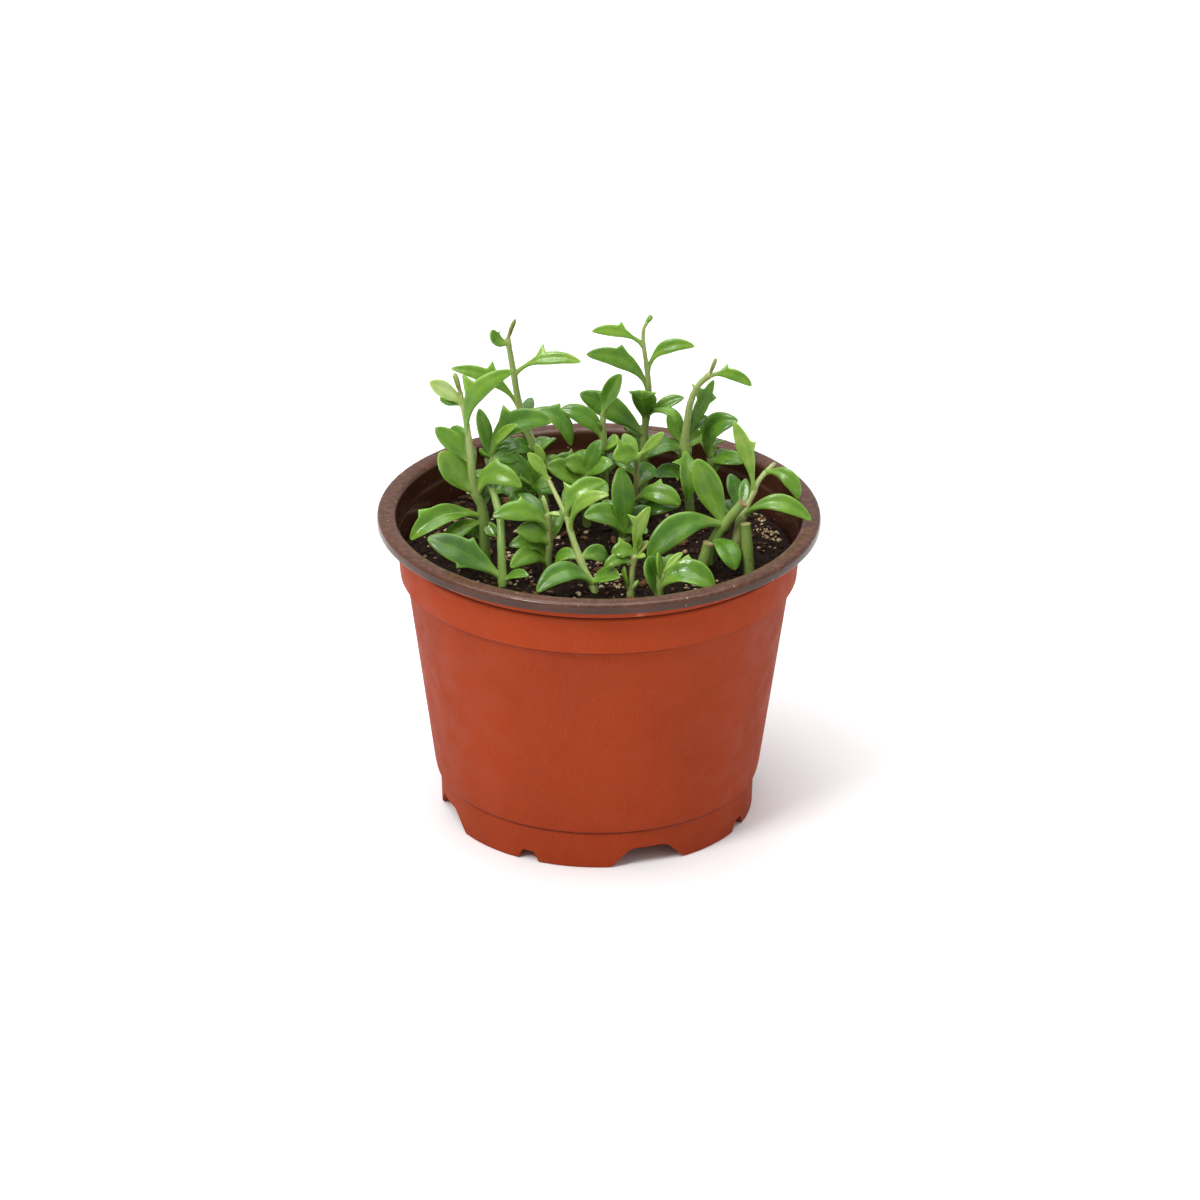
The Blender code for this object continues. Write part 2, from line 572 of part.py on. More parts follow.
def make_soil(parts, cutters, feet):
    """The root ball: it fills the pot to just below the neck, with a hole for each stem."""
    rim_radius = COLLAR_FOOT[0] - WALL - GAP
    top = [(rim_radius * (1 - ring / SOIL_RINGS), SOIL_LEVEL) for ring in range(SOIL_RINGS + 1)]
    profile = [(0.0, FLOOR_UNDER + WALL + GAP), *pot_inner(GAP), *top]
    profile.reverse()
    soil = applied(turned("soil", profile, POT_STEPS, parts))
    for vertex in soil.data.vertices:
        x, y, z = (value / MM for value in vertex.co)
        inner = math.hypot(x, y) < rim_radius - 0.5
        if z > SOIL_LEVEL - 0.5 and inner:
            vertex.co.z = soil_height(x, y, feet) * MM
    boolean(soil, "DIFFERENCE", cutters)
    applied(soil)
    soil.data.materials.append(principled("peat", SOIL_BROWN, 0.95))


def stem_hole(name, foot, radius, collection):
    work = bmesh.new()
    reach = (radius + HOLE_CLEARANCE) * MM
    depth = HOLE_DEPTH + 6
    bmesh.ops.create_cone(work, cap_ends=True, segments=8, radius1=reach, radius2=reach, depth=depth * MM)
    middle = Vector((foot.x, foot.y, foot.z - HOLE_DEPTH + depth / 2))
    bmesh.ops.translate(work, verts=work.verts, vec=middle * MM)
    mesh = bpy.data.meshes.new(name)
    work.to_mesh(mesh)
    work.free()
    as_cutter(new_object(name, mesh, collection))


def smooth_route(points, per_span=2):
    """Points on a smooth curve through the stem's own points, each with its share of the length."""
    route = [Vector(point) for point in points]
    padded = [route[0] - UP * 4, *route, route[-1] * 2 - route[-2]]
    found = []
    for i in range(1, len(padded) - 2):
        before, start, end, after = padded[i - 1 : i + 3]
        for step in range(per_span):
            t = step / per_span
            bend = (2 * before - 5 * start + 4 * end - after) * t**2
            twist = (3 * start - before - 3 * end + after) * t**3
            found.append((2 * start + (end - before) * t + bend + twist) / 2)
    found.append(route[-1])
    lengths = [0.0]
    for i in range(1, len(found)):
        lengths.append(lengths[-1] + (found[i] - found[i - 1]).length)
    return [(point, length / lengths[-1]) for point, length in zip(found, lengths)]


def point_at(route, share):
    """The point at this share of the route's length."""
    for (start, low), (end, high) in zip(route, route[1:]):
        if share <= high:
            return start.lerp(end, (share - low) / (high - low))
    return route[-1][0]


def make_stem(name, route, radii, collection):
    """A round tapering stem that goes on straight down below the soil."""
    curve = bpy.data.curves.new(name, "CURVE")
    curve.dimensions = "3D"
    curve.bevel_depth = radii[0] * MM
    curve.bevel_resolution = 1
    curve.use_fill_caps = True
    buried = route[0][0] - UP * STEM_DEPTH
    points = [(buried, 0.0), *route]
    spline = curve.splines.new("POLY")
    spline.points.add(len(points) - 1)
    for target, (point, share) in zip(spline.points, points):
        target.co = (*(point * MM), 1)
        target.radius = 1 + (radii[1] / radii[0] - 1) * share
    return applied(new_object(name, curve, collection))


def half_width(t, width, length):
    """Half the blade's width at share t: a stalk, slimmer on a long leaf, then a blunt-nosed blade."""
    if t < WIDEST:
        slimness = min(3.2, max(1.1, 1.1 + (length / width - 2.2) * 0.8))
        full = BASE_SHARE + (1 - BASE_SHARE) * math.sin(math.pi / 2 * t / WIDEST) ** slimness
    else:
        full = math.cos(math.pi / 2 * (t - WIDEST) / (1 - WIDEST)) ** 0.58
    return max(min(LEAST_HALF_WIDTH, 0.4 * width) * (1 - t), full * width / 2)


def leaf_rings(fins, fin_at):
    if fins:
        return [0.0, 0.2, fin_at - 0.1, fin_at, fin_at + 0.07, max(0.9, fin_at + 0.11)]
    return [0.0, 0.2, 0.42, 0.66, 0.88]


def make_leaf(name, base, row, collection):
    """A fleshy blade lofted along its arched midrib, four points a ring, with its fins on the margins."""
    _, dx, dy, dz, arch, width, roll, fins, fin_at = row
    reach = Vector((dx, dy, dz))
    along = reach.normalized()
    lift = (UP - along * along.z).normalized()
    right = along.cross(lift)
    bend = reach / 2 + lift * 2 * arch
    turn = math.radians(roll)
    thickness = min(max(THICKNESS_SHARE * width, THICKNESS_RANGE[0]), THICKNESS_RANGE[1], width * 0.8)

    work = bmesh.new()
    rings = []
    for t in leaf_rings(fins, fin_at):
        centre = base + bend * 2 * t * (1 - t) + reach * t**2
        tangent = (bend * 2 * (1 - 2 * t) + reach * 2 * t).normalized()
        upper = right.cross(tangent)
        across = right * math.cos(turn) - upper * math.sin(turn)
        face = upper * math.cos(turn) + right * math.sin(turn)
        half = half_width(t, width, reach.length)
        thick = face * thickness * (0.7 + 0.3 * min(1.0, t / 0.4)) / 2
        edges = []
        for side, margins in ((1, "Rr"), (-1, "TLl")):
            fin = sum(FINS[letter] for letter in fins if letter in margins and t == fin_at)
            lean = tangent * FIN_LEAN * reach.length if fin else Vector()
            edges.append(centre + across * side * (half + fin) + lean)
        corners = (edges[0], centre + thick, edges[1], centre - thick)
        rings.append([work.verts.new(corner * MM) for corner in corners])
    count = len(rings[0])
    for ring, above in zip(rings, rings[1:]):
        for i in range(count):
            work.faces.new((ring[i], ring[(i + 1) % count], above[(i + 1) % count], above[i]))
    work.faces.new(rings[0])
    nose = work.verts.new((base + reach) * MM)
    for i in range(count):
        work.faces.new((rings[-1][i], rings[-1][(i + 1) % count], nose))
    bmesh.ops.recalc_face_normals(work, faces=work.faces)
    bmesh.ops.triangulate(work, faces=work.faces)
    mesh = bpy.data.meshes.new(name)
    work.to_mesh(mesh)
    work.free()
    return new_object(name, mesh, collection)


def make_shoot(name, shoot, parts, material):
    """A stem with its leaves, grown as one piece."""
    route = smooth_route(shoot["stem"])
    stem = make_stem(name, route, shoot["radii"], parts)
    leaves = new_collection(name + "_leaves")
    for number, row in enumerate(shoot["leaves"]):
        make_leaf(f"{name}_leaf_{number}", point_at(route, row[0]), row, leaves)
    boolean(stem, "UNION", leaves)
    applied(stem, 50)
    for leaf in list(leaves.objects):
        bpy.data.objects.remove(leaf)
    bpy.data.collections.remove(leaves)
    stem.data.materials.append(material)


def main():
    clear_scene()
    parts = new_collection("potted_string_of_dolphins")
    pot_cutters = new_collection("pot_cutters")
    hole_cutters = new_collection("hole_cutters")
    make_pot(parts, pot_cutters)

    feet = []
    for name, shoot in {**SHOOTS, **STUBS}.items():
        foot = Vector(shoot["stem"][0])
        feet.append(foot)
        stem_hole(name + "_hole", foot, shoot["radii"][0], hole_cutters)
    make_soil(parts, hole_cutters, feet)

    green = principled("leaf", LEAF_GREEN, 0.35)
    for name, shoot in SHOOTS.items():
        make_shoot(name, shoot, parts, green)
    bark = principled("cut_stem", STUB_GREEN, 0.6)
    for name, stub in STUBS.items():
        stem = make_stem(name, smooth_route(stub["stem"]), stub["radii"], parts)
        stem.data.materials.append(bark)


main()
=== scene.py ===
"""Dresses the potted string of dolphins: the nursery pot, the root ball, its grains and the leafy stems.

Metres in the settings and in the scene, millimetres in the tables of stems.
The origin is on the floor under the pot's centre, +Z is up and -Y is the front.
"""

import math
import random

import bmesh
import bpy
from bpy.props import FloatProperty, FloatVectorProperty, IntProperty, PointerProperty
from mathutils import Matrix, Vector, noise
from mathutils.bvhtree import BVHTree


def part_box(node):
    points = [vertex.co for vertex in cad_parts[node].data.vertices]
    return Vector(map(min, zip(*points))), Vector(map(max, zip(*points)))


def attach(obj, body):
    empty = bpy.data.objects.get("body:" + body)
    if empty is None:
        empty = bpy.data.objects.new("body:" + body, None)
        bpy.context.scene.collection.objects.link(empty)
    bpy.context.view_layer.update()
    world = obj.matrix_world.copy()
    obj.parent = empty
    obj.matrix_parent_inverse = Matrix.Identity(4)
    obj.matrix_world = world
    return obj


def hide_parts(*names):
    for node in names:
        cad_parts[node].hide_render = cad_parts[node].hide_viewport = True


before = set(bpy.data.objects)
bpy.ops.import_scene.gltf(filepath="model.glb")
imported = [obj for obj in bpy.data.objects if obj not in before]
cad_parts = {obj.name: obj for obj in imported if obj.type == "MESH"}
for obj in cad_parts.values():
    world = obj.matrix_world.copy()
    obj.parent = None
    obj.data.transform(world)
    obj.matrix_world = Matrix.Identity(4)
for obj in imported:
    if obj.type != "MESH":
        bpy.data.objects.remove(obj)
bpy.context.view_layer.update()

bl_info = {
    "name": "Potted string of dolphins",
    "version": (1, 0, 0),
    "blender": (4, 5, 0),
    "location": "View3D > Sidebar > Plant",
    "description": "Builds a potted string of dolphins over its packed model, piece by piece",
    "category": "Add Mesh",
}

POT_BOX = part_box("pot")
MM = 0.001
UP = Vector((0, 0, 1))

# Pot profile below the rim, (radius, height) in mm, down the outside
COLLAR_TOP = (49.2, 71.4)
COLLAR_FOOT = (48.45, 62.3)
SHOULDER = (46.85, 61.4)
WALL_FOOT = (40.05, 11.6)
FOOT_TOP = (38.75, 9.4)
FOOT_RADIUS = 38.45
RING_INNER = 32.0
FLOOR_UNDER = 5.3
GROOVE_Z = 72.1
NECK_RADIUS = 49.7
MOUTH_RADIUS = 50.2
WIDE_NOTCHES = (19.3, 109.3, 199.3, 289.3)
SMALL_NOTCHES = (64.3, 154.3, 244.3, 334.3)

# Heights in mm where the pot's looks change: each pair is where the change starts and ends
UNDER_LIP = (70.5, 74.5)
# Where the collar band's painted light starts and ends
COLLAR_PAINTED_LIGHT = (61.8, 62.5)
# Where the flange top's wear and painted sheen start and end
FLANGE_WEAR_AND_SHEEN = (76.5, 77.9)
# Heights in mm of the creases, where thin lines of painted shade are drawn
CREASE_SHADE_LEVELS = (GROOVE_Z, COLLAR_FOOT[1] - 0.2, FOOT_TOP[1] + 0.35)

# Leaf shape, as shares of its length or width, or mm
BASE_SHARE = 0.2
LEAST_HALF_WIDTH = 0.62
WIDEST = 0.6
FINS = {"T": 3.4, "L": 2.4, "R": 2.4, "l": 1.3, "r": 1.3}
FIN_LEAN = 0.05
THICKNESS_SHARE = 0.42
THICKNESS_RANGE = (1.3, 2.5)
STEM_DEPTH = 8.0

# Blender's noise vectors start from the clock unless they are seeded
NOISE_SEED = 5

# Each leaf's look, in the order of its stem's rows, partly its own colour and partly painted light: w very
# pale, a painted backlight on backlit leaves, p pale, b bright, m mid green, d deep green, painted shade on
# leaves in shadow, g bright and wet-looking, o a brownish bud
TONES = {"w": 0.92, "p": 0.68, "b": 0.52, "m": 0.36, "d": 0.15, "g": 0.4, "o": 0.62}

# A shoot is its stem's points (x, y, z) from the soil up, its radii at the soil and at the tip,
# and its leaves.
# A leaf is (share of the stem, nose dx, dy, dz from there, arch, width, roll, fins, share of the fins).
# tones has one letter a leaf. stalk is how pale and how brown the stem is, each at the soil and at the tip.
SHOOTS = {
    "leafy_stem_tall_left": {
        "stem": [
            (-13.5, 28, 67), (-16, 26.8, 82), (-18, 26, 88),
            (-20, 25.3, 96), (-21.2, 24.5, 104), (-22.6, 23.5, 113),
        ],
        "radii": (1.15, 0.68),
        "tones": "ompbdmdbdmbp",
        "stalk": (0.5, 0.8, 0.02, 0.16),
        "leaves": [
            (1.0, 1.8, -0.5, 5.8, 0.2, 1.4, 0, "", 0.5),
            (0.98, -3.8, -1, 3.9, -1.2, 3.6, -58, "r", 0.62),
            (0.79, 16.4, -3, 4.7, 2.6, 3.4, 62, "L", 0.47),
            (0.57, -17.2, 1, 10.8, 3.2, 3.6, -60, "R", 0.56),
            (0.50, 1.6, 5, 4.6, 0.4, 3.2, 0, "", 0.5),
            (0.56, 12.2, -3, -7.5, 4.6, 4.4, 48, "l", 0.45),
            (0.30, -6.8, -4, 2.8, 1.6, 4.6, -40, "", 0.5),
            (0.20, 6.0, 1, -0.4, 2.0, 4.8, 35, "", 0.5),
            (0.34, -6.0, 7, 3.0, 2.5, 4.8, 20, "R", 0.55),
            (0.28, 4.0, 8, 1.0, 2.2, 4.6, 0, "l", 0.5),
            (0.36, -2.4, -2.5, -4.6, 0.6, 3.0, -60, "", 0.5),
            (0.38, 3.0, -2.5, -5.0, 0.6, 2.6, 60, "", 0.5),
        ],
    },
    "leafy_stem_front_left": {
        "stem": [
            (-27.7, -4, 67), (-28.2, -5, 80), (-30.3, -5.6, 86),
            (-31.2, -6, 96), (-32, -5.6, 103), (-33.6, -3.5, 110.4),
        ],
        "radii": (1.41, 0.6),
        "tones": "owmbmbbbggddgm",
        "stalk": (0.2, 0.85, 0.0, 0.25),
        "leaves": [
            (1.0, -1.3, 0, 5.2, 0.2, 2.0, 0, "", 0.5),
            (0.94, -7.8, -1, 6.1, 0.3, 4.0, -65, "", 0.5),
            (0.93, -5.6, 2, 0.6, 0.8, 3.4, -55, "", 0.5),
            (0.73, 10.9, 1, 17.9, 5.0, 4.6, 66, "T", 0.56),
            (0.66, -4.9, 5, 4.0, 1.2, 4.2, -50, "", 0.5),
            (0.585, -8.8, 1, 9.2, 0.8, 4.8, -65, "", 0.5),
            (0.42, -8.4, -2, 11.2, -0.2, 6.6, -68, "", 0.5),
            (0.385, 10.8, -5, 4.9, 4.8, 5.2, 60, "l", 0.58),
            (0.25, -17.5, -6, -3.3, 3.8, 5.4, -40, "r", 0.72),
            (0.22, -10.2, -5, -2.8, 1.2, 4.0, -68, "", 0.5),
            (0.52, -3.0, 9, 3.5, 2.5, 4.8, 0, "L", 0.5),
            (0.30, 2.5, 8, 4.0, 2.5, 4.4, 20, "", 0.5),
            (0.22, 2.8, -3, -2.4, 0.4, 3.2, 40, "", 0.5),
            (0.10, -6.4, 2, 3.4, 1.2, 4.6, -50, "", 0.5),
        ],
    },
    "leafy_stem_left_column": {
        "stem": [
            (-23, -20, 67), (-23.5, -16.8, 76), (-23.8, -13, 81),
            (-25, -9, 84.6), (-26.3, -4.5, 87.6), (-26.4, 0, 91.5),
        ],
        "radii": (1.1, 0.79),
        "tones": "mmbmdgmdp",
        "stalk": (0.25, 0.4, 0.0, 0.05),
        "leaves": [
            (1.0, 15.0, 2, 9.0, 5.0, 5.8, 56, "L", 0.5),
            (0.97, -2.8, 4, 12.6, 0.3, 4.2, 0, "", 0.5),
            (1.0, -2.6, -2, 3.0, 0.4, 2.8, -20, "", 0.5),
            (0.97, 7.2, 2, -0.4, 1.8, 5.0, 40, "", 0.5),
            (0.05, -18.2, 5, 8.3, 1.2, 6.6, -50, "lr", 0.5),
            (0.03, 6.2, -3, 3.0, 0.8, 3.0, 30, "", 0.5),
            (0.90, 6.8, 1, -2.6, 1.8, 4.6, 45, "", 0.5),
            (1.0, 7.6, 4, 2.0, 1.2, 4.6, 30, "", 0.5),
            (1.0, 6.7, -2, 10.0, 1.6, 2.6, 58, "", 0.5),
        ],
    },
    "leafy_stem_back_centre": {
        "stem": [(1.5, 23, 67), (1.2, 23, 80), (0.8, 22, 93.5)],
        "radii": (1.01, 0.7),
        "tones": "gombddmb",
        "stalk": (0.5, 0.7, 0.1, 0.2),
        "leaves": [
            (1.0, 4.5, -1, 11.6, 0.6, 4.4, 72, "l", 0.40),
            (0.80, -1.4, -1.6, 4.2, 0.2, 1.1, 0, "", 0.5),
            (0.74, -10.6, 2, 7.4, 2.4, 4.8, -55, "", 0.5),
            (0.60, 3.7, -3, 4.6, 1.0, 5.0, 30, "", 0.5),
            (0.35, 5.0, 7, 3.0, 2.2, 4.6, 0, "L", 0.55),
            (0.30, -6.0, 8, 3.0, 2.5, 4.6, 0, "", 0.5),
            (0.60, -2.4, -3.4, 1.6, 1.2, 4.0, -30, "", 0.5),
            (0.45, -5.4, -4, 2.2, 1.6, 4.6, -40, "", 0.5),
        ],
    },
    "leafy_stem_tallest": {
        "stem": [
            (11.2, 31, 67), (11.1, 30, 84), (12, 28.5, 97.5), (11.3, 27, 105.6),
            (10.6, 26, 111), (10.6, 25.5, 115), (11.4, 25.4, 117),
        ],
        "radii": (1.19, 0.42),
        "tones": "bbbmmmbmddd",
        "stalk": (0.35, 1.0, 0.0, 0.25),
        "leaves": [
            (1.0, 1.2, 0, 1.9, 0.1, 1.8, 0, "", 0.5),
            (0.87, -12.7, -1, 4.0, 1.8, 2.9, -62, "r", 0.5),
            (0.72, 11.6, -1, 7.0, 3.2, 3.4, 62, "", 0.5),
            (0.61, -15.4, -1.5, 9.9, 3.4, 4.6, -66, "r", 0.60),
            (0.45, -1.2, -5, 9.6, 0.6, 6.4, 0, "lr", 0.84),
            (0.46, 9.3, -1, 5.4, 0.9, 3.2, 50, "", 0.5),
            (0.48, 8.6, -4, -5.0, 4.2, 3.4, 20, "", 0.5),
            (0.35, -16.1, 1, 10.8, 1.4, 6.2, -66, "", 0.5),
            (0.22, 2.0, 9, 2.0, 2.0, 5.2, 0, "LR", 0.5),
            (0.30, -5.0, 6, 2.5, 1.5, 4.4, 0, "l", 0.5),
            (0.25, 6.8, -1, 3.6, 1.4, 4.8, 40, "", 0.5),
        ],
    },
    "leafy_stem_arched_right": {
        "stem": [
            (22.6, 23, 67), (21, 21, 85), (21.4, 20.5, 92),
            (22.2, 20, 98), (24, 19, 103), (26.8, 18, 106.4),
        ],
        "radii": (1.23, 0.7),
        "tones": "obmdpgdmdd",
        "stalk": (0.4, 0.9, 0.0, 0.2),
        "leaves": [
            (1.0, 1.4, 0, 4.4, 0.2, 1.3, 0, "", 0.5),
            (0.98, 10.8, -1.5, -1.7, 1.9, 3.0, 65, "l", 0.38),
            (0.47, 7.0, 3, 16.4, 0.4, 3.4, 72, "Tr", 0.76),
            (0.52, 5.6, 5, 3.6, 1.0, 3.2, 40, "", 0.5),
            (0.45, 3.8, 3.6, 3.4, 0.3, 4.2, 30, "", 0.5),
            (0.43, 0.8, -9.5, -8.6, 3.6, 4.8, -15, "LR", 0.40),
            (0.43, -9.8, -3.5, -0.3, 2.6, 4.6, -35, "", 0.5),
            (0.45, -4.2, 1, 8.7, -0.3, 2.6, -68, "", 0.5),
            (0.22, -8.0, -5, 3.5, 2.0, 4.6, -30, "l", 0.5),
            (0.30, -2.0, 9, 3.0, 2.4, 4.6, 0, "L", 0.5),
        ],
    },
    "leafy_stem_back_right": {
        "stem": [(28.4, 27, 67), (27.7, 26.5, 76), (27.5, 26, 81)],
        "radii": (1.01, 0.79),
        "tones": "mmdd",
        "stalk": (0.3, 0.5, 0.0, 0.1),
        "leaves": [
            (1.0, 6.6, -2, 10.5, 4.0, 6.2, 50, "L", 0.42),
            (0.88, 7.8, -3.5, 1.4, 1.4, 4.4, 35, "", 0.5),
            (0.90, -1.0, 8, 2.0, 2.5, 4.6, 0, "R", 0.5),
            (0.60, 5.2, 6.5, 3.4, 2.4, 4.4, 20, "l", 0.55),
        ],
    },
    "leafy_stem_far_right": {
        "stem": [
            (33, -7, 67), (33.7, -5, 74.7), (34.8, -3.8, 78.6),
            (37.4, -1, 83.4), (38.9, 0.3, 86.4), (42.5, 4, 89),
        ],
        "radii": (1.32, 0.48),
        "tones": "pbbdmd",
        "stalk": (0.35, 1.0, 0.2, 0.15),
        "leaves": [
            (0.67, -5.1, 4, 16.8, 1.4, 4.0, -65, "r", 0.63),
            (0.88, 7.8, -5, -4.8, 3.3, 3.8, 55, "", 0.5),
            (0.42, 16.8, -4, 1.2, 4.4, 4.4, 52, "", 0.5),
            (0.44, -3.0, 6, 8.4, 0.4, 4.4, 0, "", 0.5),
            (0.44, 0.8, 5, 7.6, 0.3, 3.2, 0, "", 0.5),
            (0.38, -4.0, 5, 3.4, 0.4, 4.0, -20, "", 0.5),
        ],
    },
    "leafy_stem_cut_right": {
        "stem": [(27, -6, 67), (27.9, -6.5, 73), (30.4, -7, 77.6), (34.6, -7.5, 83.4)],
        "radii": (1.28, 1.19),
        "tones": "mbm",
        "stalk": (0.2, 0.45, 0.05, 0.0),
        "leaves": [
            (0.60, -18.2, -8, -5.6, 4.8, 7.0, -48, "", 0.5),
            (0.60, -6.8, 3, 16.2, 0.2, 6.8, -65, "", 0.5),
            (0.33, 5.1, -9, -3.6, 2.4, 6.2, 0, "", 0.5),
        ],
    },
    "leafy_stem_front_right": {
        "stem": [(14.6, -27, 67), (15, -26.6, 73)],
        "radii": (1.06, 0.88),
        "tones": "gdpmb",
        "stalk": (0.3, 0.4, 0.0, 0.0),
        "leaves": [
            (0.50, 13.0, -3, 1.2, 4.0, 6.4, 44, "l", 0.5),
            (0.10, -2.8, 2, 9.6, 0.4, 6.8, -10, "", 0.5),
            (0.95, 5.2, 4, 4.6, 0.6, 2.0, 40, "", 0.5),
            (0.90, 4.6, 5, 3.0, 1.2, 4, 30, "l", 0.5),
            (0.60, -0.6, 0.6, 8.4, 0.3, 3.4, 30, "", 0.5),
        ],
    },
    "leafy_stem_front_middle": {
        "stem": [(7.8, -25, 67), (8, -25, 72), (8.7, -24, 77.2)],
        "radii": (0.84, 0.66),
        "tones": "pppbbpwo",
        "stalk": (0.6, 0.95, 0.05, 0.5),
        "leaves": [
            (1.0, 3.5, 1, 12.3, 1.1, 3.2, 65, "L", 0.66),
            (0.97, 1.4, 2.2, 4.4, 0.2, 2, 0, "", 0.5),
            (0.93, 2.6, -2, 1.2, 0.4, 2.0, 20, "", 0.5),
            (0.93, -5.4, -1, 0.8, 1.8, 4.0, -52, "r", 0.6),
            (0.76, -6.9, -2, -0.1, 2.0, 3.2, -50, "", 0.6),
            (0.05, -1.6, -0.6, 7.4, -0.3, 2.0, -20, "", 0.5),
            (0.05, 1.7, -0.4, 3.6, 0.2, 1.6, 0, "", 0.5),
            (0.95, 3.2, 2.4, 3.2, 0, 2.6, 0, "", 0.5),
        ],
    },
    "leafy_stem_leaning": {
        "stem": [
            (-0.9, -22.5, 67), (-3.5, -20.5, 71.8), (-6.4, -17, 78.7),
            (-7.8, -14.8, 82.8), (-9.6, -12.5, 86), (-12.2, -9, 90),
        ],
        "radii": (1.01, 0.48),
        "tones": "pbpbmmg",
        "stalk": (0.8, 1.0, 0.0, 0.25),
        "leaves": [
            (1.0, -5.1, 1, 6.7, 0.3, 3.0, -62, "", 0.5),
            (0.66, 9.4, 2, 8.1, 2.8, 4.8, 55, "L", 0.40),
            (0.53, 9.2, -3, 11.0, 3.2, 3.6, 56, "", 0.5),
            (0.28, -6.0, 3, -2.7, 2.0, 3.8, -40, "", 0.5),
            (0.28, 6.4, 3, -1.7, 2.0, 4.4, 45, "", 0.5),
            (0.04, -13.4, -7, 1.6, 4.6, 5.6, -40, "", 0.5),
            (0.06, 6.6, -6, 4.4, 1.2, 4.6, 40, "", 0.5),
        ],
    },
    "leafy_stem_front_low": {
        "stem": [(-12.4, -12, 67), (-11.9, -13.2, 77.4), (-12.2, -14, 83.2)],
        "radii": (0.97, 0.62),
        "tones": "wwbdbmbb",
        "stalk": (0.45, 0.9, 0.0, 0.45),
        "leaves": [
            (1.0, -1.3, 0, 5.0, 0.2, 1.4, 0, "", 0.5),
            (1.0, 2.8, -1.6, 0.4, 0.4, 1.7, 0, "", 0.5),
            (0.75, -13.6, -3, 4.3, 3.0, 5.0, -52, "r", 0.56),
            (0.85, -7.5, 5, 5.2, 1.2, 3.0, -40, "", 0.5),
            (0.48, -7.7, -3, 4.6, 1.4, 5.4, -62, "r", 0.6),
            (0.45, 3.0, 5, 7.2, 0.5, 3.4, 20, "", 0.5),
            (0.16, -9.4, -2, 5.2, 3.4, 4.2, -48, "", 0.5),
            (0.06, -8.8, -7.2, 3.4, 3.4, 4.8, -48, "", 0.5),
        ],
    },
    "leafy_stem_purple": {
        "stem": [(8.8, 8, 67), (8.9, 7.4, 76), (9.1, 7, 82.7), (9.3, 6, 89.8)],
        "radii": (0.72, 0.55),
        "tones": "pbbbdddmd",
        "stalk": (0.3, 0.7, 0.55, 0.65),
        "leaves": [
            (1.0, 6.3, 0, 6.4, -0.2, 2.8, 62, "", 0.5),
            (0.96, -5.8, -5, 2.2, 1.4, 5.4, -58, "R", 0.70),
            (0.93, -3.4, 4.5, 5.4, 0.2, 4.0, -20, "", 0.5),
            (0.47, 10.9, -4, 0.4, 2.4, 5.0, 58, "l", 0.5),
            (0.62, 4.6, 6.5, 2.2, 1.4, 4.8, 30, "", 0.5),
            (0.35, -5.5, 7, 3.5, 2.2, 4.6, 0, "r", 0.5),
            (0.20, 10.8, -1, 4.6, 2.2, 5.2, 40, "", 0.5),
            (0.75, -4.8, 5, 3.0, 1.2, 4.6, -40, "", 0.5),
            (0.30, -4.0, 5.5, 6.0, 0.8, 4.4, -10, "", 0.5),
        ],
    },
    "leafy_stem_middle": {
        "stem": [(6.3, -1, 67), (6.2, -1, 71.5)],
        "radii": (1.1, 0.97),
        "tones": "mmddd",
        "stalk": (0.3, 0.5, 0.0, 0.0),
        "leaves": [
            (0.95, -1.2, 4, 16.8, 1.0, 5.8, 0, "", 0.5),
            (0.85, -9.9, -3, 7.4, 3.2, 6.2, -45, "", 0.5),
            (0.80, 5.5, -5, 4.0, 2.2, 4.2, 20, "", 0.5),
            (0.90, -5.4, 5, 7.6, 1.0, 5.2, -40, "", 0.5),
            (0.90, 5.8, 4, 6.6, 1.0, 5.0, 40, "", 0.5),
        ],
    },
    "leafy_stem_centre_back": {
        "stem": [(-3, 16, 67), (-3.4, 16.2, 74), (-3.3, 16.6, 80)],
        "radii": (1.06, 0.84),
        "tones": "mbmbbmmm",
        "stalk": (0.3, 0.5, 0.0, 0.1),
        "leaves": [
            (0.97, 3.6, 2, 9.0, 0.4, 4.4, 20, "", 0.5),
            (0.95, 6.6, -2, 4.6, 1.2, 4.6, 45, "", 0.5),
            (1.0, -2.6, 3, 4.8, 0.4, 4.6, -10, "", 0.5),
            (0.97, -5.4, -1, 4.0, 1.4, 5.2, -50, "", 0.5),
            (0.72, -9.4, -3, 7.2, 1.4, 6.0, -55, "", 0.5),
            (0.50, 1.5, -9, 2.0, 3.0, 4.8, 0, "", 0.5),
            (0.60, 5.4, -7, 3.4, 1.8, 5.0, 20, "", 0.5),
            (0.60, -5.2, -8, 1.0, 2.2, 4.8, -20, "", 0.5),
        ],
    },
    "leafy_stem_inner_left": {
        "stem": [(-16, 9, 67), (-16.4, 9.5, 74), (-16.8, 10, 80)],
        "radii": (1.06, 0.79),
        "tones": "mmbmdbmm",
        "stalk": (0.3, 0.5, 0.0, 0.1),
        "leaves": [
            (0.98, -7.0, -1, 8.6, 1.6, 4.8, -45, "", 0.5),
            (0.95, 1.6, 3.0, 7.4, 0.6, 4.4, 0, "", 0.5),
            (0.80, 5.0, -2, 3.4, 1.8, 4.4, 45, "r", 0.55),
            (0.60, -8.0, 2, 3.2, 2.2, 5, -40, "", 0.5),
            (0.55, 0.5, -7.5, 2.4, 2.4, 4.6, 0, "l", 0.5),
            (0.90, -3.2, -4, 5.4, 1.0, 4.6, -30, "", 0.5),
            (0.70, -5.0, -6, 1.5, 1.8, 4.6, -40, "", 0.5),
            (0.90, 5.6, -3, 0.6, 1.6, 4.6, 45, "", 0.5),
        ],
    },
    "leafy_stem_back_low": {
        "stem": [(-4, 36, 67), (-4.2, 36, 71.5)],
        "radii": (0.97, 0.84),
        "tones": "mmm",
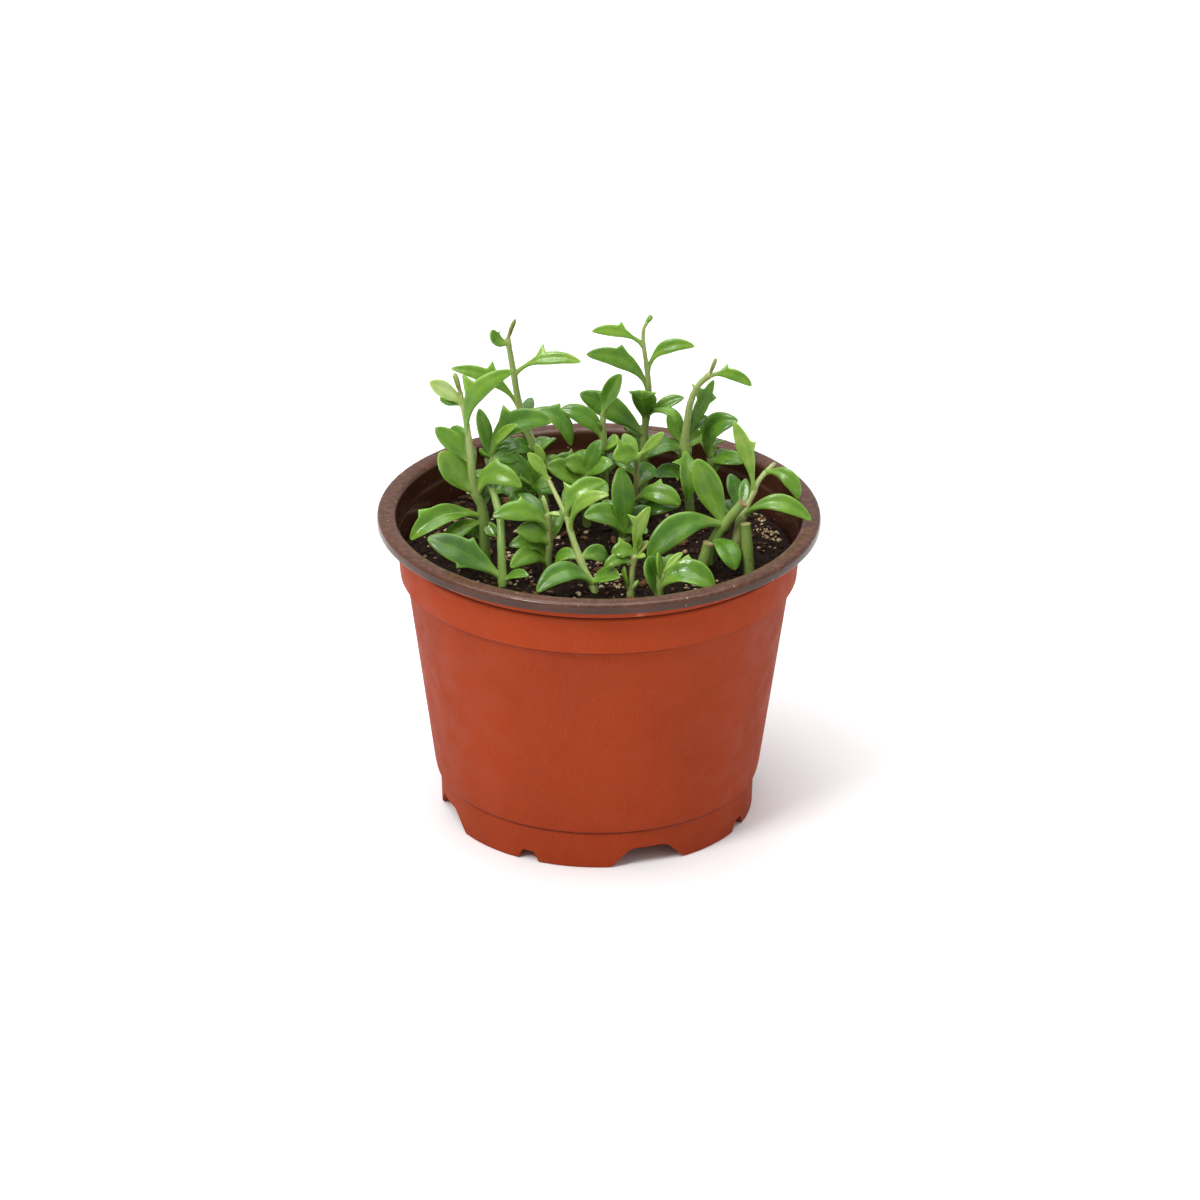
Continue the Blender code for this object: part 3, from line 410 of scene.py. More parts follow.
        "stalk": (0.3, 0.5, 0.0, 0.1),
        "leaves": [
            (0.95, -7.5, -2, 4.6, 1.8, 4.6, -45, "r", 0.55),
            (0.95, 6.5, 1.5, 4.0, 1.8, 4.6, 45, "", 0.5),
            (0.80, 0.5, 7.0, 4.6, 1.2, 4.8, 0, "L", 0.55),
        ],
    },
    "leafy_stem_back_left": {
        "stem": [(-25, 21, 67), (-25.3, 21, 72.5)],
        "radii": (1.01, 0.88),
        "tones": "mmmd",
        "stalk": (0.3, 0.5, 0.0, 0.1),
        "leaves": [
            (0.95, -6.0, 5, 4.2, 2.0, 4.8, 0, "R", 0.55),
            (0.95, 5.5, 3.5, 5.2, 1.6, 4.8, 40, "", 0.5),
            (0.80, -7.5, -4, 3.4, 2.0, 4.8, -40, "l", 0.5),
            (0.80, 4.0, -6, 4.6, 1.6, 4.8, 20, "", 0.5),
        ],
    },
}

# Cut stems with no leaves: their points and radii
STUBS = {
    "stem_stub_front": {"stem": [(24.6, -13.5, 67), (26.4, -12.8, 75)], "radii": (1.45, 1.25)},
    "stem_stub_right": {"stem": [(36.4, -12, 67), (35.5, -9.8, 78.8)], "radii": (1.45, 1.25)},
}

# Pale perlite on the soil: patches as (x, y, spread, grains)
PERLITE_PATCHES = [
    (42, 10, 7, 40),
    (42, 22, 4, 16),
    (0, -6, 5, 36),
    (-21, -3, 4, 22),
    (-17, -14, 4, 14),
    (-40, 3, 3, 10),
    (-36, 22, 6, 40),
    (-16, 30, 6, 24),
    (27, -18, 4, 24),
    (2, -17, 6, 26),
    (0, 0, 44, 260),
]


class PotSettings(bpy.types.PropertyGroup):
    """Sizes and colours of the nursery pot."""

    rim_radius: FloatProperty(
        name="Rim radius", description="Outer radius of the rolled rim", default=POT_BOX[1][0], unit="LENGTH"
    )
    height: FloatProperty(
        name="Height", description="Height of the rim above the floor", default=POT_BOX[1][2], unit="LENGTH"
    )
    lip_drop: FloatProperty(
        name="Lip drop", description="How far the lip turns down", default=0.0026, unit="LENGTH"
    )
    wall: FloatProperty(
        name="Wall", description="Thickness of the formed sheet", default=0.0009, unit="LENGTH"
    )
    steps: IntProperty(name="Steps", description="Points round the pot", default=208, min=32)
    terracotta: FloatVectorProperty(
        name="Outside",
        description="Colour of the outer layer",
        subtype="COLOR",
        default=(0.275, 0.034, 0.0065),
    )
    brown: FloatVectorProperty(
        name="Inside", description="Colour of the inner layer", subtype="COLOR", default=(0.05, 0.017, 0.009)
    )


class SoilSettings(bpy.types.PropertyGroup):
    """Sizes and colours of the root ball and its grains."""

    level: FloatProperty(
        name="Level", description="Height of the soil above the floor", default=0.0667, unit="LENGTH"
    )
    relief: FloatProperty(
        name="Relief", description="Height of the lumps", default=0.0022, unit="LENGTH"
    )
    crumbs: IntProperty(name="Crumbs", description="Number of loose crumbs on the soil", default=900, min=0)
    peat: FloatVectorProperty(
        name="Peat", description="Colour of the peat", subtype="COLOR", default=(0.012, 0.005, 0.0025)
    )
    perlite: FloatVectorProperty(
        name="Perlite", description="Colour of the perlite", subtype="COLOR", default=(0.62, 0.5, 0.32)
    )


class LeafSettings(bpy.types.PropertyGroup):
    """Fineness and colours of the leafy stems."""

    sides: IntProperty(name="Sides", description="Points round a leaf", default=18, min=8)
    # The deep and pale colours also serve as painted shade and painted backlight on leaves whose tone was
    # chosen for how they are lit
    deep: FloatVectorProperty(
        name="Deep", description="Colour of old, low leaves", subtype="COLOR", default=(0.03, 0.088, 0.008)
    )
    mid: FloatVectorProperty(
        name="Mid", description="Colour of grown leaves", subtype="COLOR", default=(0.07, 0.185, 0.014)
    )
    bright: FloatVectorProperty(
        name="Bright", description="Colour of young leaves", subtype="COLOR", default=(0.145, 0.29, 0.02)
    )
    pale: FloatVectorProperty(
        name="Pale", description="Colour of the youngest leaves", subtype="COLOR", default=(0.27, 0.4, 0.065)
    )
    stem: FloatVectorProperty(
        name="Stem", description="Colour of a pale stem", subtype="COLOR", default=(0.38, 0.46, 0.16)
    )
    blush: FloatVectorProperty(
        name="Blush", description="Colour of a ripe or dry stem", subtype="COLOR", default=(0.26, 0.13, 0.08)
    )


class StageSettings(bpy.types.PropertyGroup):
    """Camera, lights and floor."""

    distance: FloatProperty(
        name="Distance", description="From the camera to the middle of the plant", default=1.5, unit="LENGTH"
    )
    elevation: FloatProperty(
        name="Elevation",
        description="Camera's angle above the horizon",
        default=math.radians(25.2),
        subtype="ANGLE",
    )
    lean: FloatProperty(
        name="Lean", description="Camera's roll", default=math.radians(0.4), subtype="ANGLE"
    )
    lens: FloatProperty(name="Lens", description="Focal length in mm", default=183.7)
    key: FloatProperty(
        name="Key light", description="Power of the light at the left", default=16.0, unit="POWER"
    )
    sky: FloatProperty(name="Sky", description="Strength of the white surroundings", default=0.53)


def deselect():
    if bpy.context.mode != "OBJECT":
        bpy.ops.object.mode_set(mode="OBJECT")
    bpy.ops.object.select_all(action="DESELECT")


def only(obj):
    """Makes this the one selected object, and the active one."""
    deselect()
    obj.select_set(True)
    bpy.context.view_layer.objects.active = obj


def settle(obj):
    """Leaves the object at the origin, unturned and unscaled, with its place in its mesh."""
    only(obj)
    bpy.ops.object.transform_apply(location=True, rotation=True, scale=True)


def apply_modifiers(obj):
    only(obj)
    for modifier in list(obj.modifiers):
        bpy.ops.object.modifier_apply(modifier=modifier.name)


def rounded(profile, steps=4):
    """A profile of (radius, height, rounding) in mm with its rounded corners drawn out in short steps."""
    found = []
    for i, (radius, height, rounding) in enumerate(profile):
        corner = Vector((radius, height))
        if not rounding or i in (0, len(profile) - 1):
            found.append(corner)
            continue
        ends = []
        for near in (profile[i - 1], profile[i + 1]):
            way = Vector(near[:2]) - corner
            ends.append(corner + way.normalized() * min(rounding, way.length * 0.49))
        for step in range(steps + 1):
            t = step / steps
            found.append(ends[0] * (1 - t) ** 2 + corner * 2 * t * (1 - t) + ends[1] * t**2)
    return found


def turned(name, profile, segments):
    """A disc drawn out ring by ring along a profile of (radius, height) in mm, and closed at its end."""
    deselect()
    first = profile[0]
    bpy.ops.mesh.primitive_circle_add(
        vertices=segments, radius=first.x * MM, fill_type="TRIFAN", location=(0, 0, first.y * MM)
    )
    obj = bpy.context.object
    obj.name = obj.data.name = name
    bpy.ops.object.mode_set(mode="EDIT")
    bpy.ops.mesh.select_mode(type="EDGE")
    bpy.ops.mesh.select_all(action="DESELECT")
    bpy.ops.mesh.select_non_manifold()
    for before, after in zip(profile, profile[1:]):
        bpy.ops.mesh.extrude_edges_move(TRANSFORM_OT_translate={"value": (0, 0, (after.y - before.y) * MM)})
        share = after.x / before.x
        bpy.ops.transform.resize(value=(share, share, 1), center_override=(0, 0, 0))
    bpy.ops.mesh.edge_face_add()
    bpy.ops.mesh.poke()
    bpy.ops.mesh.select_all(action="SELECT")
    bpy.ops.mesh.normals_make_consistent(inside=False)
    bpy.ops.object.mode_set(mode="OBJECT")
    settle(obj)
    return obj


def front_direction(degrees):
    """The level direction at this angle from the front, towards +X."""
    angle = math.radians(degrees)
    return Vector((math.sin(angle), -math.cos(angle), 0))


def notch_cutter(degrees, foot, top, height, corner):
    """A block through the foot ring: rounded, narrower at its top and flared where it meets the floor."""
    deselect()
    middle = -(RING_INNER + 5) * MM
    bpy.ops.mesh.primitive_cube_add(
        size=1, location=(0, middle, height * MM / 2), scale=(2 * foot * MM, 16 * MM, height * MM)
    )
    cutter = bpy.context.object
    bpy.ops.object.transform_apply(location=True, rotation=False, scale=True)
    bpy.ops.object.mode_set(mode="EDIT")
    bpy.ops.mesh.select_mode(type="FACE")
    work = bmesh.from_edit_mesh(cutter.data)
    for face in work.faces:
        face.select_set(face.normal.z > 0.9)
    bmesh.update_edit_mesh(cutter.data)
    bpy.ops.transform.resize(value=(top / foot, 1, 1), center_override=(0, middle, 0))
    for face in work.faces:
        face.select_set(face.normal.z < -0.9)
    bmesh.update_edit_mesh(cutter.data)
    bpy.ops.mesh.extrude_region_move(TRANSFORM_OT_translate={"value": (0, 0, -0.9 * MM)})
    bpy.ops.transform.resize(value=(1 + 1.4 / foot, 1, 1), center_override=(0, middle, 0))
    bpy.ops.mesh.select_mode(type="EDGE")
    bpy.ops.mesh.select_all(action="DESELECT")
    work = bmesh.from_edit_mesh(cutter.data)
    for edge in work.edges:
        a, b = (vert.co for vert in edge.verts)
        runs_through = abs(a.y - b.y) > 10 * MM
        edge.select_set(runs_through and a.z > -0.5 * MM)
    bmesh.update_edit_mesh(cutter.data)
    bpy.ops.mesh.bevel(offset=corner * MM, segments=5, affect="EDGES")
    bpy.ops.object.mode_set(mode="OBJECT")
    only(cutter)
    cutter.matrix_world = Matrix.Rotation(math.radians(degrees), 4, "Z")
    return cutter


def drain_cutter(place, radius, level):
    deselect()
    bpy.ops.mesh.primitive_cylinder_add(vertices=48, radius=radius * MM, depth=6 * MM)
    cutter = bpy.context.object
    cutter.location = (place + UP * level) * MM
    return cutter


def cut_away(obj, cutters):
    """Cuts the blocks out of the object and removes them."""
    group = bpy.data.collections.new(obj.name + "_cutters")
    bpy.context.scene.collection.children.link(group)
    for cutter in cutters:
        for home in list(cutter.users_collection):
            home.objects.unlink(cutter)
        group.objects.link(cutter)
    only(obj)
    cut = obj.modifiers.new("Cut", "BOOLEAN")
    cut.operation = "DIFFERENCE"
    cut.operand_type = "COLLECTION"
    cut.collection = group
    cut.solver = "EXACT"
    apply_modifiers(obj)
    for cutter in cutters:
        bpy.data.objects.remove(cutter, do_unlink=True)
    bpy.data.collections.remove(group)


def paint_by(obj, materials, choose):
    """Gives the object its materials, and each face the one that choose(face) numbers."""
    for material in materials:
        obj.data.materials.append(material)
    for face in obj.data.polygons:
        face.material_index = choose(face)


def add_node(tree, kind, values=None, **settings):
    """A node with its settings, and the values or links of its inputs by name or number."""
    made = tree.nodes.new(kind)
    for name, value in settings.items():
        setattr(made, name, value)
    for name, value in (values or {}).items():
        if isinstance(value, bpy.types.NodeSocket):
            tree.links.new(value, made.inputs[name])
        else:
            made.inputs[name].default_value = value
    return made


def math_node(tree, operation, *values, clamp=False):
    inputs = {i: value for i, value in enumerate(values)}
    return add_node(tree, "ShaderNodeMath", inputs, operation=operation, use_clamp=clamp).outputs[0]


def ease(tree, value, low, high, start=0.0, end=1.0):
    """value from low to high becomes start to end, smoothly."""
    inputs = {"Value": value, "From Min": low, "From Max": high, "To Min": start, "To Max": end}
    return add_node(tree, "ShaderNodeMapRange", inputs, interpolation_type="SMOOTHSTEP").outputs["Result"]


def blend_colours(tree, share, first, second, mode="MIX"):
    mix = add_node(tree, "ShaderNodeMix", data_type="RGBA", blend_type=mode)
    for socket, value in ((0, share), (6, first), (7, second)):
        if isinstance(value, bpy.types.NodeSocket):
            tree.links.new(value, mix.inputs[socket])
        elif socket == 0:
            mix.inputs[socket].default_value = value
        else:
            mix.inputs[socket].default_value = (*value, 1)
    return mix.outputs[2]


def mark(tree, name):
    return add_node(tree, "ShaderNodeAttribute", attribute_name=name).outputs["Fac"]


def grain_group():
    """Soft grain in the object's own coordinates: Size is its size in metres, Stretch pulls it along Z."""
    name = "Soft grain"
    if name in bpy.data.node_groups:
        return bpy.data.node_groups[name]
    tree = bpy.data.node_groups.new(name, "ShaderNodeTree")
    for label, value in (("Size", 0.002), ("Stretch", 1.0), ("Detail", 4.0)):
        tree.interface.new_socket(label, in_out="INPUT", socket_type="NodeSocketFloat").default_value = value
    tree.interface.new_socket("Value", in_out="OUTPUT", socket_type="NodeSocketFloat")
    tree.interface.new_socket("Colour", in_out="OUTPUT", socket_type="NodeSocketColor")
    entry = tree.nodes.new("NodeGroupInput")
    leave = tree.nodes.new("NodeGroupOutput")
    place = add_node(tree, "ShaderNodeTexCoord").outputs["Object"]
    shorter = math_node(tree, "DIVIDE", 1.0, entry.outputs["Stretch"])
    squeeze = add_node(tree, "ShaderNodeCombineXYZ", {0: 1.0, 1: 1.0, 2: shorter}).outputs[0]
    stretched = add_node(tree, "ShaderNodeVectorMath", {0: place, 1: squeeze}, operation="MULTIPLY")
    scale = math_node(tree, "DIVIDE", 1.0, entry.outputs["Size"])
    inputs = {"Vector": stretched.outputs[0], "Scale": scale, "Detail": entry.outputs["Detail"]}
    noise_node = add_node(tree, "ShaderNodeTexNoise", inputs)
    tree.links.new(noise_node.outputs["Fac"], leave.inputs["Value"])
    tree.links.new(noise_node.outputs["Color"], leave.inputs["Colour"])
    return tree


def specks_group():
    """Small separate specks: Spacing in metres, Amount the share of them that show."""
    name = "Specks"
    if name in bpy.data.node_groups:
        return bpy.data.node_groups[name]
    tree = bpy.data.node_groups.new(name, "ShaderNodeTree")
    for label, value in (("Spacing", 0.003), ("Amount", 0.3), ("Width", 0.18)):
        tree.interface.new_socket(label, in_out="INPUT", socket_type="NodeSocketFloat").default_value = value
    tree.interface.new_socket("Mask", in_out="OUTPUT", socket_type="NodeSocketFloat")
    entry = tree.nodes.new("NodeGroupInput")
    leave = tree.nodes.new("NodeGroupOutput")
    place = add_node(tree, "ShaderNodeTexCoord").outputs["Object"]
    scale = math_node(tree, "DIVIDE", 1.0, entry.outputs["Spacing"])
    cells = add_node(tree, "ShaderNodeTexVoronoi", {"Vector": place, "Scale": scale})
    dot = math_node(tree, "LESS_THAN", cells.outputs["Distance"], entry.outputs["Width"])
    draw = add_node(tree, "ShaderNodeSeparateColor", {0: cells.outputs["Color"]}).outputs[0]
    chosen = math_node(tree, "LESS_THAN", draw, entry.outputs["Amount"])
    tree.links.new(math_node(tree, "MULTIPLY", dot, chosen), leave.inputs["Mask"])
    return tree


def grain(tree, size, stretch=1.0, detail=4.0, output="Value"):
    values = {"Size": size, "Stretch": stretch, "Detail": detail}
    made = tree.nodes.new("ShaderNodeGroup")
    made.node_tree = grain_group()
    for name, value in values.items():
        made.inputs[name].default_value = value
    return made.outputs[output]


def specks(tree, spacing, amount, width=0.18):
    made = tree.nodes.new("ShaderNodeGroup")
    made.node_tree = specks_group()
    for name, value in (("Spacing", spacing), ("Amount", amount), ("Width", width)):
        if isinstance(value, bpy.types.NodeSocket):
            tree.links.new(value, made.inputs[name])
        else:
            made.inputs[name].default_value = value
    return made.outputs["Mask"]


def new_material(name):
    """A material and its tree, with its Principled shader."""
    material = bpy.data.materials.new(name)
    material.use_nodes = True
    tree = material.node_tree
    return material, tree, tree.nodes["Principled BSDF"]


def bump(tree, shader, height, strength, distance):
    made = add_node(tree, "ShaderNodeBump", {"Height": height, "Strength": strength, "Distance": distance})
    tree.links.new(made.outputs["Normal"], shader.inputs["Normal"])


def terracotta_plastic(colour):
    """The dull outer layer: upright streaks, fine grain, dust under the lip, painted light on the collar band
    and painted shade in the creases.
    """
    material, tree, shader = new_material("terracotta_plastic")
    base = Vector(colour)
    streak = grain(tree, 0.0007, 9.0, 2.0)
    cloud = grain(tree, 0.018, 1.6, 3.0)
    tone = blend_colours(tree, ease(tree, cloud, 0.3, 0.7), tuple(base * 0.93), tuple(base * 1.06))
    tone = blend_colours(tree, ease(tree, streak, 0.35, 0.7, 0.0, 0.35), tone, tuple(base * 1.2))
    place = add_node(tree, "ShaderNodeTexCoord").outputs["Object"]
    height = add_node(tree, "ShaderNodeSeparateXYZ", {0: place}).outputs["Z"]
    under_lip = ease(tree, height, UNDER_LIP[0] * MM, UNDER_LIP[1] * MM)
    # Painted light: the collar band is lightened by height, standing in for the light that falls on it below
    # the lip
    collar_painted_light = ease(tree, height, COLLAR_PAINTED_LIGHT[0] * MM, COLLAR_PAINTED_LIGHT[1] * MM, 0.0, 0.5)
    tone = blend_colours(tree, collar_painted_light, tone, tuple(base * 1.35))
    amount = math_node(tree, "ADD", 0.15, math_node(tree, "MULTIPLY", under_lip, 0.25))
    dust = specks(tree, 0.0006, amount, 0.15)
    tone = blend_colours(tree, math_node(tree, "MULTIPLY", dust, 0.3), tone, (0.66, 0.33, 0.2))
    # Painted shade: a thin dark line at each crease
    for level in CREASE_SHADE_LEVELS:
        away = math_node(tree, "ABSOLUTE", math_node(tree, "SUBTRACT", height, level * MM))
        tone = blend_colours(tree, ease(tree, away, 0.0001, 0.0006, 0.85, 0.0), tone, tuple(base * 0.22))
    scuff = ease(tree, grain(tree, 0.004, 1.0, 6.0), 0.62, 0.78, 0.0, 0.35)
    tone = blend_colours(tree, math_node(tree, "MULTIPLY", scuff, under_lip), tone, (0.7, 0.4, 0.3))
    tree.links.new(tone, shader.inputs["Base Color"])
    tree.links.new(ease(tree, grain(tree, 0.006), 0.3, 0.7, 0.56, 0.72), shader.inputs["Roughness"])
    shader.inputs["Specular IOR Level"].default_value = 0.12
    bump(tree, shader, grain(tree, 0.0005, 2.0, 2.0), 0.1, 0.0002)
    return material


def brown_plastic(colour):
    """The smooth inner layer, which also covers the flange and the lip, with wear and a painted sheen on the
    flange top.
    """
    material, tree, shader = new_material("brown_plastic")
    base = Vector(colour)
    cloud = grain(tree, 0.012, 1.0, 4.0)
    tone = blend_colours(tree, ease(tree, cloud, 0.3, 0.72), tuple(base * 0.8), tuple(base * 1.3))
    place = add_node(tree, "ShaderNodeTexCoord").outputs["Object"]
    height = add_node(tree, "ShaderNodeSeparateXYZ", {0: place}).outputs["Z"]
    # The flange top and the lip's upper edge get lighter streaks: partly wear, partly a painted sheen
    # standing in for the lip's highlight
    flange = ease(tree, height, FLANGE_WEAR_AND_SHEEN[0] * MM, FLANGE_WEAR_AND_SHEEN[1] * MM)
    scratch_and_sheen_streaks = ease(tree, grain(tree, 0.0016, 0.4, 4.0), 0.4, 0.75, 0.25, 0.75)
    wear_and_sheen = math_node(tree, "MULTIPLY", flange, scratch_and_sheen_streaks)
    tone = blend_colours(tree, wear_and_sheen, tone, (0.16, 0.068, 0.042))
    dust = specks(tree, 0.0016, 0.1, 0.16)
    tone = blend_colours(tree, math_node(tree, "MULTIPLY", dust, 0.4), tone, (0.5, 0.4, 0.32))
    tree.links.new(tone, shader.inputs["Base Color"])
    tree.links.new(ease(tree, grain(tree, 0.005), 0.3, 0.7, 0.16, 0.28), shader.inputs["Roughness"])
    shader.inputs["Specular IOR Level"].default_value = 0.35
    bump(tree, shader, grain(tree, 0.0009, 1.0, 3.0), 0.1, 0.0002)
    return material


def peat_material(colour):
    """Dark moist peat, almost black in its hollows, with browner fibres."""
    material, tree, shader = new_material("peat")
    base = Vector(colour)
    clod = ease(tree, grain(tree, 0.0012), 0.35, 0.68)
    tone = blend_colours(tree, clod, tuple(base * 0.45), tuple(base * 1.8))
    fibre = ease(tree, grain(tree, 0.0005, 0.3, 6.0), 0.58, 0.72, 0.0, 0.6)
    tone = blend_colours(tree, fibre, tone, (0.06, 0.028, 0.012))
    tree.links.new(tone, shader.inputs["Base Color"])
    tree.links.new(ease(tree, grain(tree, 0.0022), 0.35, 0.65, 0.55, 0.95), shader.inputs["Roughness"])
    shader.inputs["Specular IOR Level"].default_value = 0.12
    bump(tree, shader, grain(tree, 0.0007, 1.0, 6.0), 1.0, 0.0008)
    return material


def grain_material(name, dark, light):
    """Loose grains, each with its own tone between dark and light."""
    material, tree, shader = new_material(name)
    uneven = ease(tree, grain(tree, 0.0006), 0.3, 0.7, -0.2, 0.2)
    own = math_node(tree, "ADD", mark(tree, "tone"), uneven, clamp=True)
    tree.links.new(blend_colours(tree, own, tuple(dark), tuple(light)), shader.inputs["Base Color"])
    tree.links.new(ease(tree, grain(tree, 0.001), 0.3, 0.7, 0.7, 0.95), shader.inputs["Roughness"])
    shader.inputs["Specular IOR Level"].default_value = 0.15
    bump(tree, shader, grain(tree, 0.0004, 1.0, 4.0), 0.8, 0.0004)
    return material


def plant_material(name, looks):
    """Fleshy leaf and stem: marks on the mesh say how far along and across, how pale and how brown."""
    material, tree, shader = new_material(name)
    along, across = mark(tree, "along"), math_node(tree, "ABSOLUTE", mark(tree, "across"))
    tone, stalk, blush, shine = (mark(tree, label) for label in ("tone", "stalk", "blush", "shine"))

    mottled = math_node(tree, "ADD", tone, ease(tree, grain(tree, 0.004, 1.0, 3.0), 0.3, 0.7, -0.1, 0.1))
    # Each leaf's tone sets its colour from deep to pale: partly the leaf's own colour, partly painted shade
    # at the deep end and painted backlight at the pale end
    ramp = add_node(tree, "ShaderNodeValToRGB", {"Fac": mottled})
    stops = ramp.color_ramp.elements
    stops[0].position, stops[0].color = 0.0, (*looks.deep, 1)
    stops[1].position, stops[1].color = 1.0, (0.42, 0.53, 0.2, 1)
    for position, colour in ((0.3, looks.mid), (0.58, looks.bright), (0.8, looks.pale)):
        stops.new(position).color = (*colour, 1)
    flesh = ramp.outputs["Color"]

    window = math_node(tree, "MULTIPLY", ease(tree, across, 0.1, 0.4), ease(tree, across, 0.85, 0.5))
    window = math_node(tree, "MULTIPLY", window, 0.12)
    flesh = blend_colours(tree, window, flesh, tuple(Vector(looks.deep) * 1.3))
    rib = math_node(tree, "MULTIPLY", ease(tree, across, 0.16, 0.0), ease(tree, along, 0.15, 0.4, 0.0, 0.14))
    flesh = blend_colours(tree, rib, flesh, looks.pale)
    petiole = ease(tree, along, 0.34, 0.02, 0.0, 0.6)
    flesh = blend_colours(tree, petiole, flesh, (0.3, 0.44, 0.09))
    edge = ease(tree, across, 0.8, 1.0, 0.0, 0.42)
    flesh = blend_colours(tree, edge, flesh, (0.31, 0.52, 0.09))
    nose = ease(tree, along, 0.93, 1.0, 0.0, 0.35)
    flesh = blend_colours(tree, nose, flesh, (0.32, 0.46, 0.08))

    bark = blend_colours(tree, tone, (0.12, 0.25, 0.03), looks.stem)
    streak = ease(tree, grain(tree, 0.0006, 9.0, 3.0), 0.4, 0.68, 0.0, 0.4)
    bark = blend_colours(tree, streak, bark, (0.24, 0.36, 0.07))
    freckle = specks(tree, 0.0028, 0.2, 0.22)
    bark = blend_colours(tree, math_node(tree, "MULTIPLY", freckle, 0.5), bark, (0.15, 0.08, 0.035))
    colour = blend_colours(tree, stalk, flesh, bark)
    patchy = ease(tree, grain(tree, 0.0016, 3.0, 4.0), 0.3, 0.65, 0.1, 1.1)
    patch = math_node(tree, "MULTIPLY", blush, patchy, clamp=True)
    colour = blend_colours(tree, patch, colour, looks.blush)
    tree.links.new(colour, shader.inputs["Base Color"])

    gloss = ease(tree, grain(tree, 0.003), 0.3, 0.7, 0.24, 0.36)
    gloss = math_node(tree, "SUBTRACT", gloss, math_node(tree, "MULTIPLY", shine, 0.14))
    rough = math_node(tree, "ADD", gloss, math_node(tree, "MULTIPLY", blush, 0.3), clamp=True)
    tree.links.new(rough, shader.inputs["Roughness"])
    shader.inputs["Specular IOR Level"].default_value = 0.42
    shader.inputs["Subsurface Weight"].default_value = 0.2
    shader.inputs["Subsurface Radius"].default_value = (0.4, 1.0, 0.2)
    shader.inputs["Subsurface Scale"].default_value = 0.0008
    bump(tree, shader, grain(tree, 0.0006, 1.6, 3.0), 0.22, 0.0002)
    return material


MARKS = ("along", "across", "tone", "stalk", "blush", "shine")


def new_growth():
    """An empty mesh to grow rings in, with one number a point for each mark."""
    work = bmesh.new()
    for name in MARKS:
        work.verts.layers.float.new(name)
    return work


def add_point(work, place, marks):
    vert = work.verts.new(place * MM)
    for name, value in marks.items():
        vert[work.verts.layers.float[name]] = value
    return vert


def join_rings(work, rings, first_pole, last_pole):
    """Skins the rings and closes both ends on their poles."""
    count = len(rings[0])
    for ring, above in zip(rings, rings[1:]):
        for i in range(count):
            work.faces.new((ring[i], ring[(i + 1) % count], above[(i + 1) % count], above[i]))
    for i in range(count):
        after = (i + 1) % count
        work.faces.new((first_pole, rings[0][after], rings[0][i]))
        work.faces.new((last_pole, rings[-1][i], rings[-1][after]))


def half_width(t, width, length):
    """Half the blade's width at share t: a stalk, slimmer on a long leaf, then a blunt-nosed blade."""
    if t < WIDEST:
        slimness = min(3.2, max(1.1, 1.1 + (length / width - 2.2) * 0.8))
        full = BASE_SHARE + (1 - BASE_SHARE) * math.sin(math.pi / 2 * t / WIDEST) ** slimness
    else:
        full = math.cos(math.pi / 2 * (t - WIDEST) / (1 - WIDEST)) ** 0.58
    return max(min(LEAST_HALF_WIDTH, 0.4 * width) * (1 - t), full * width / 2)


def fin_share(t, fin_at):
    """How far a fin stands out at share t: a thin tooth with hollow sides."""
    reach = (fin_at - t) / 0.1 if t < fin_at else (t - fin_at) / 0.07
    return max(0.0, 1 - reach) ** 1.3


def leaf_stations(length, fins, fin_at):
    """Shares of the leaf's length to put a ring at: closer near the nose and round a fin."""
    count = 22 if length > 7 else 12
    stations = [i / count for i in range(count)] + [0.02, 0.955, 0.972, 0.985, 0.995]
    if fins:
        steps = [-0.1, -0.08, -0.062, -0.046, -0.032, -0.02, -0.009, 0]
        steps += [0.008, 0.017, 0.027, 0.039, 0.053, 0.07]
        stations = [t for t in stations if not -0.11 < t - fin_at < 0.08]
        stations += [fin_at + step for step in steps]
    return sorted(t for t in stations if 0 <= t < 0.998)


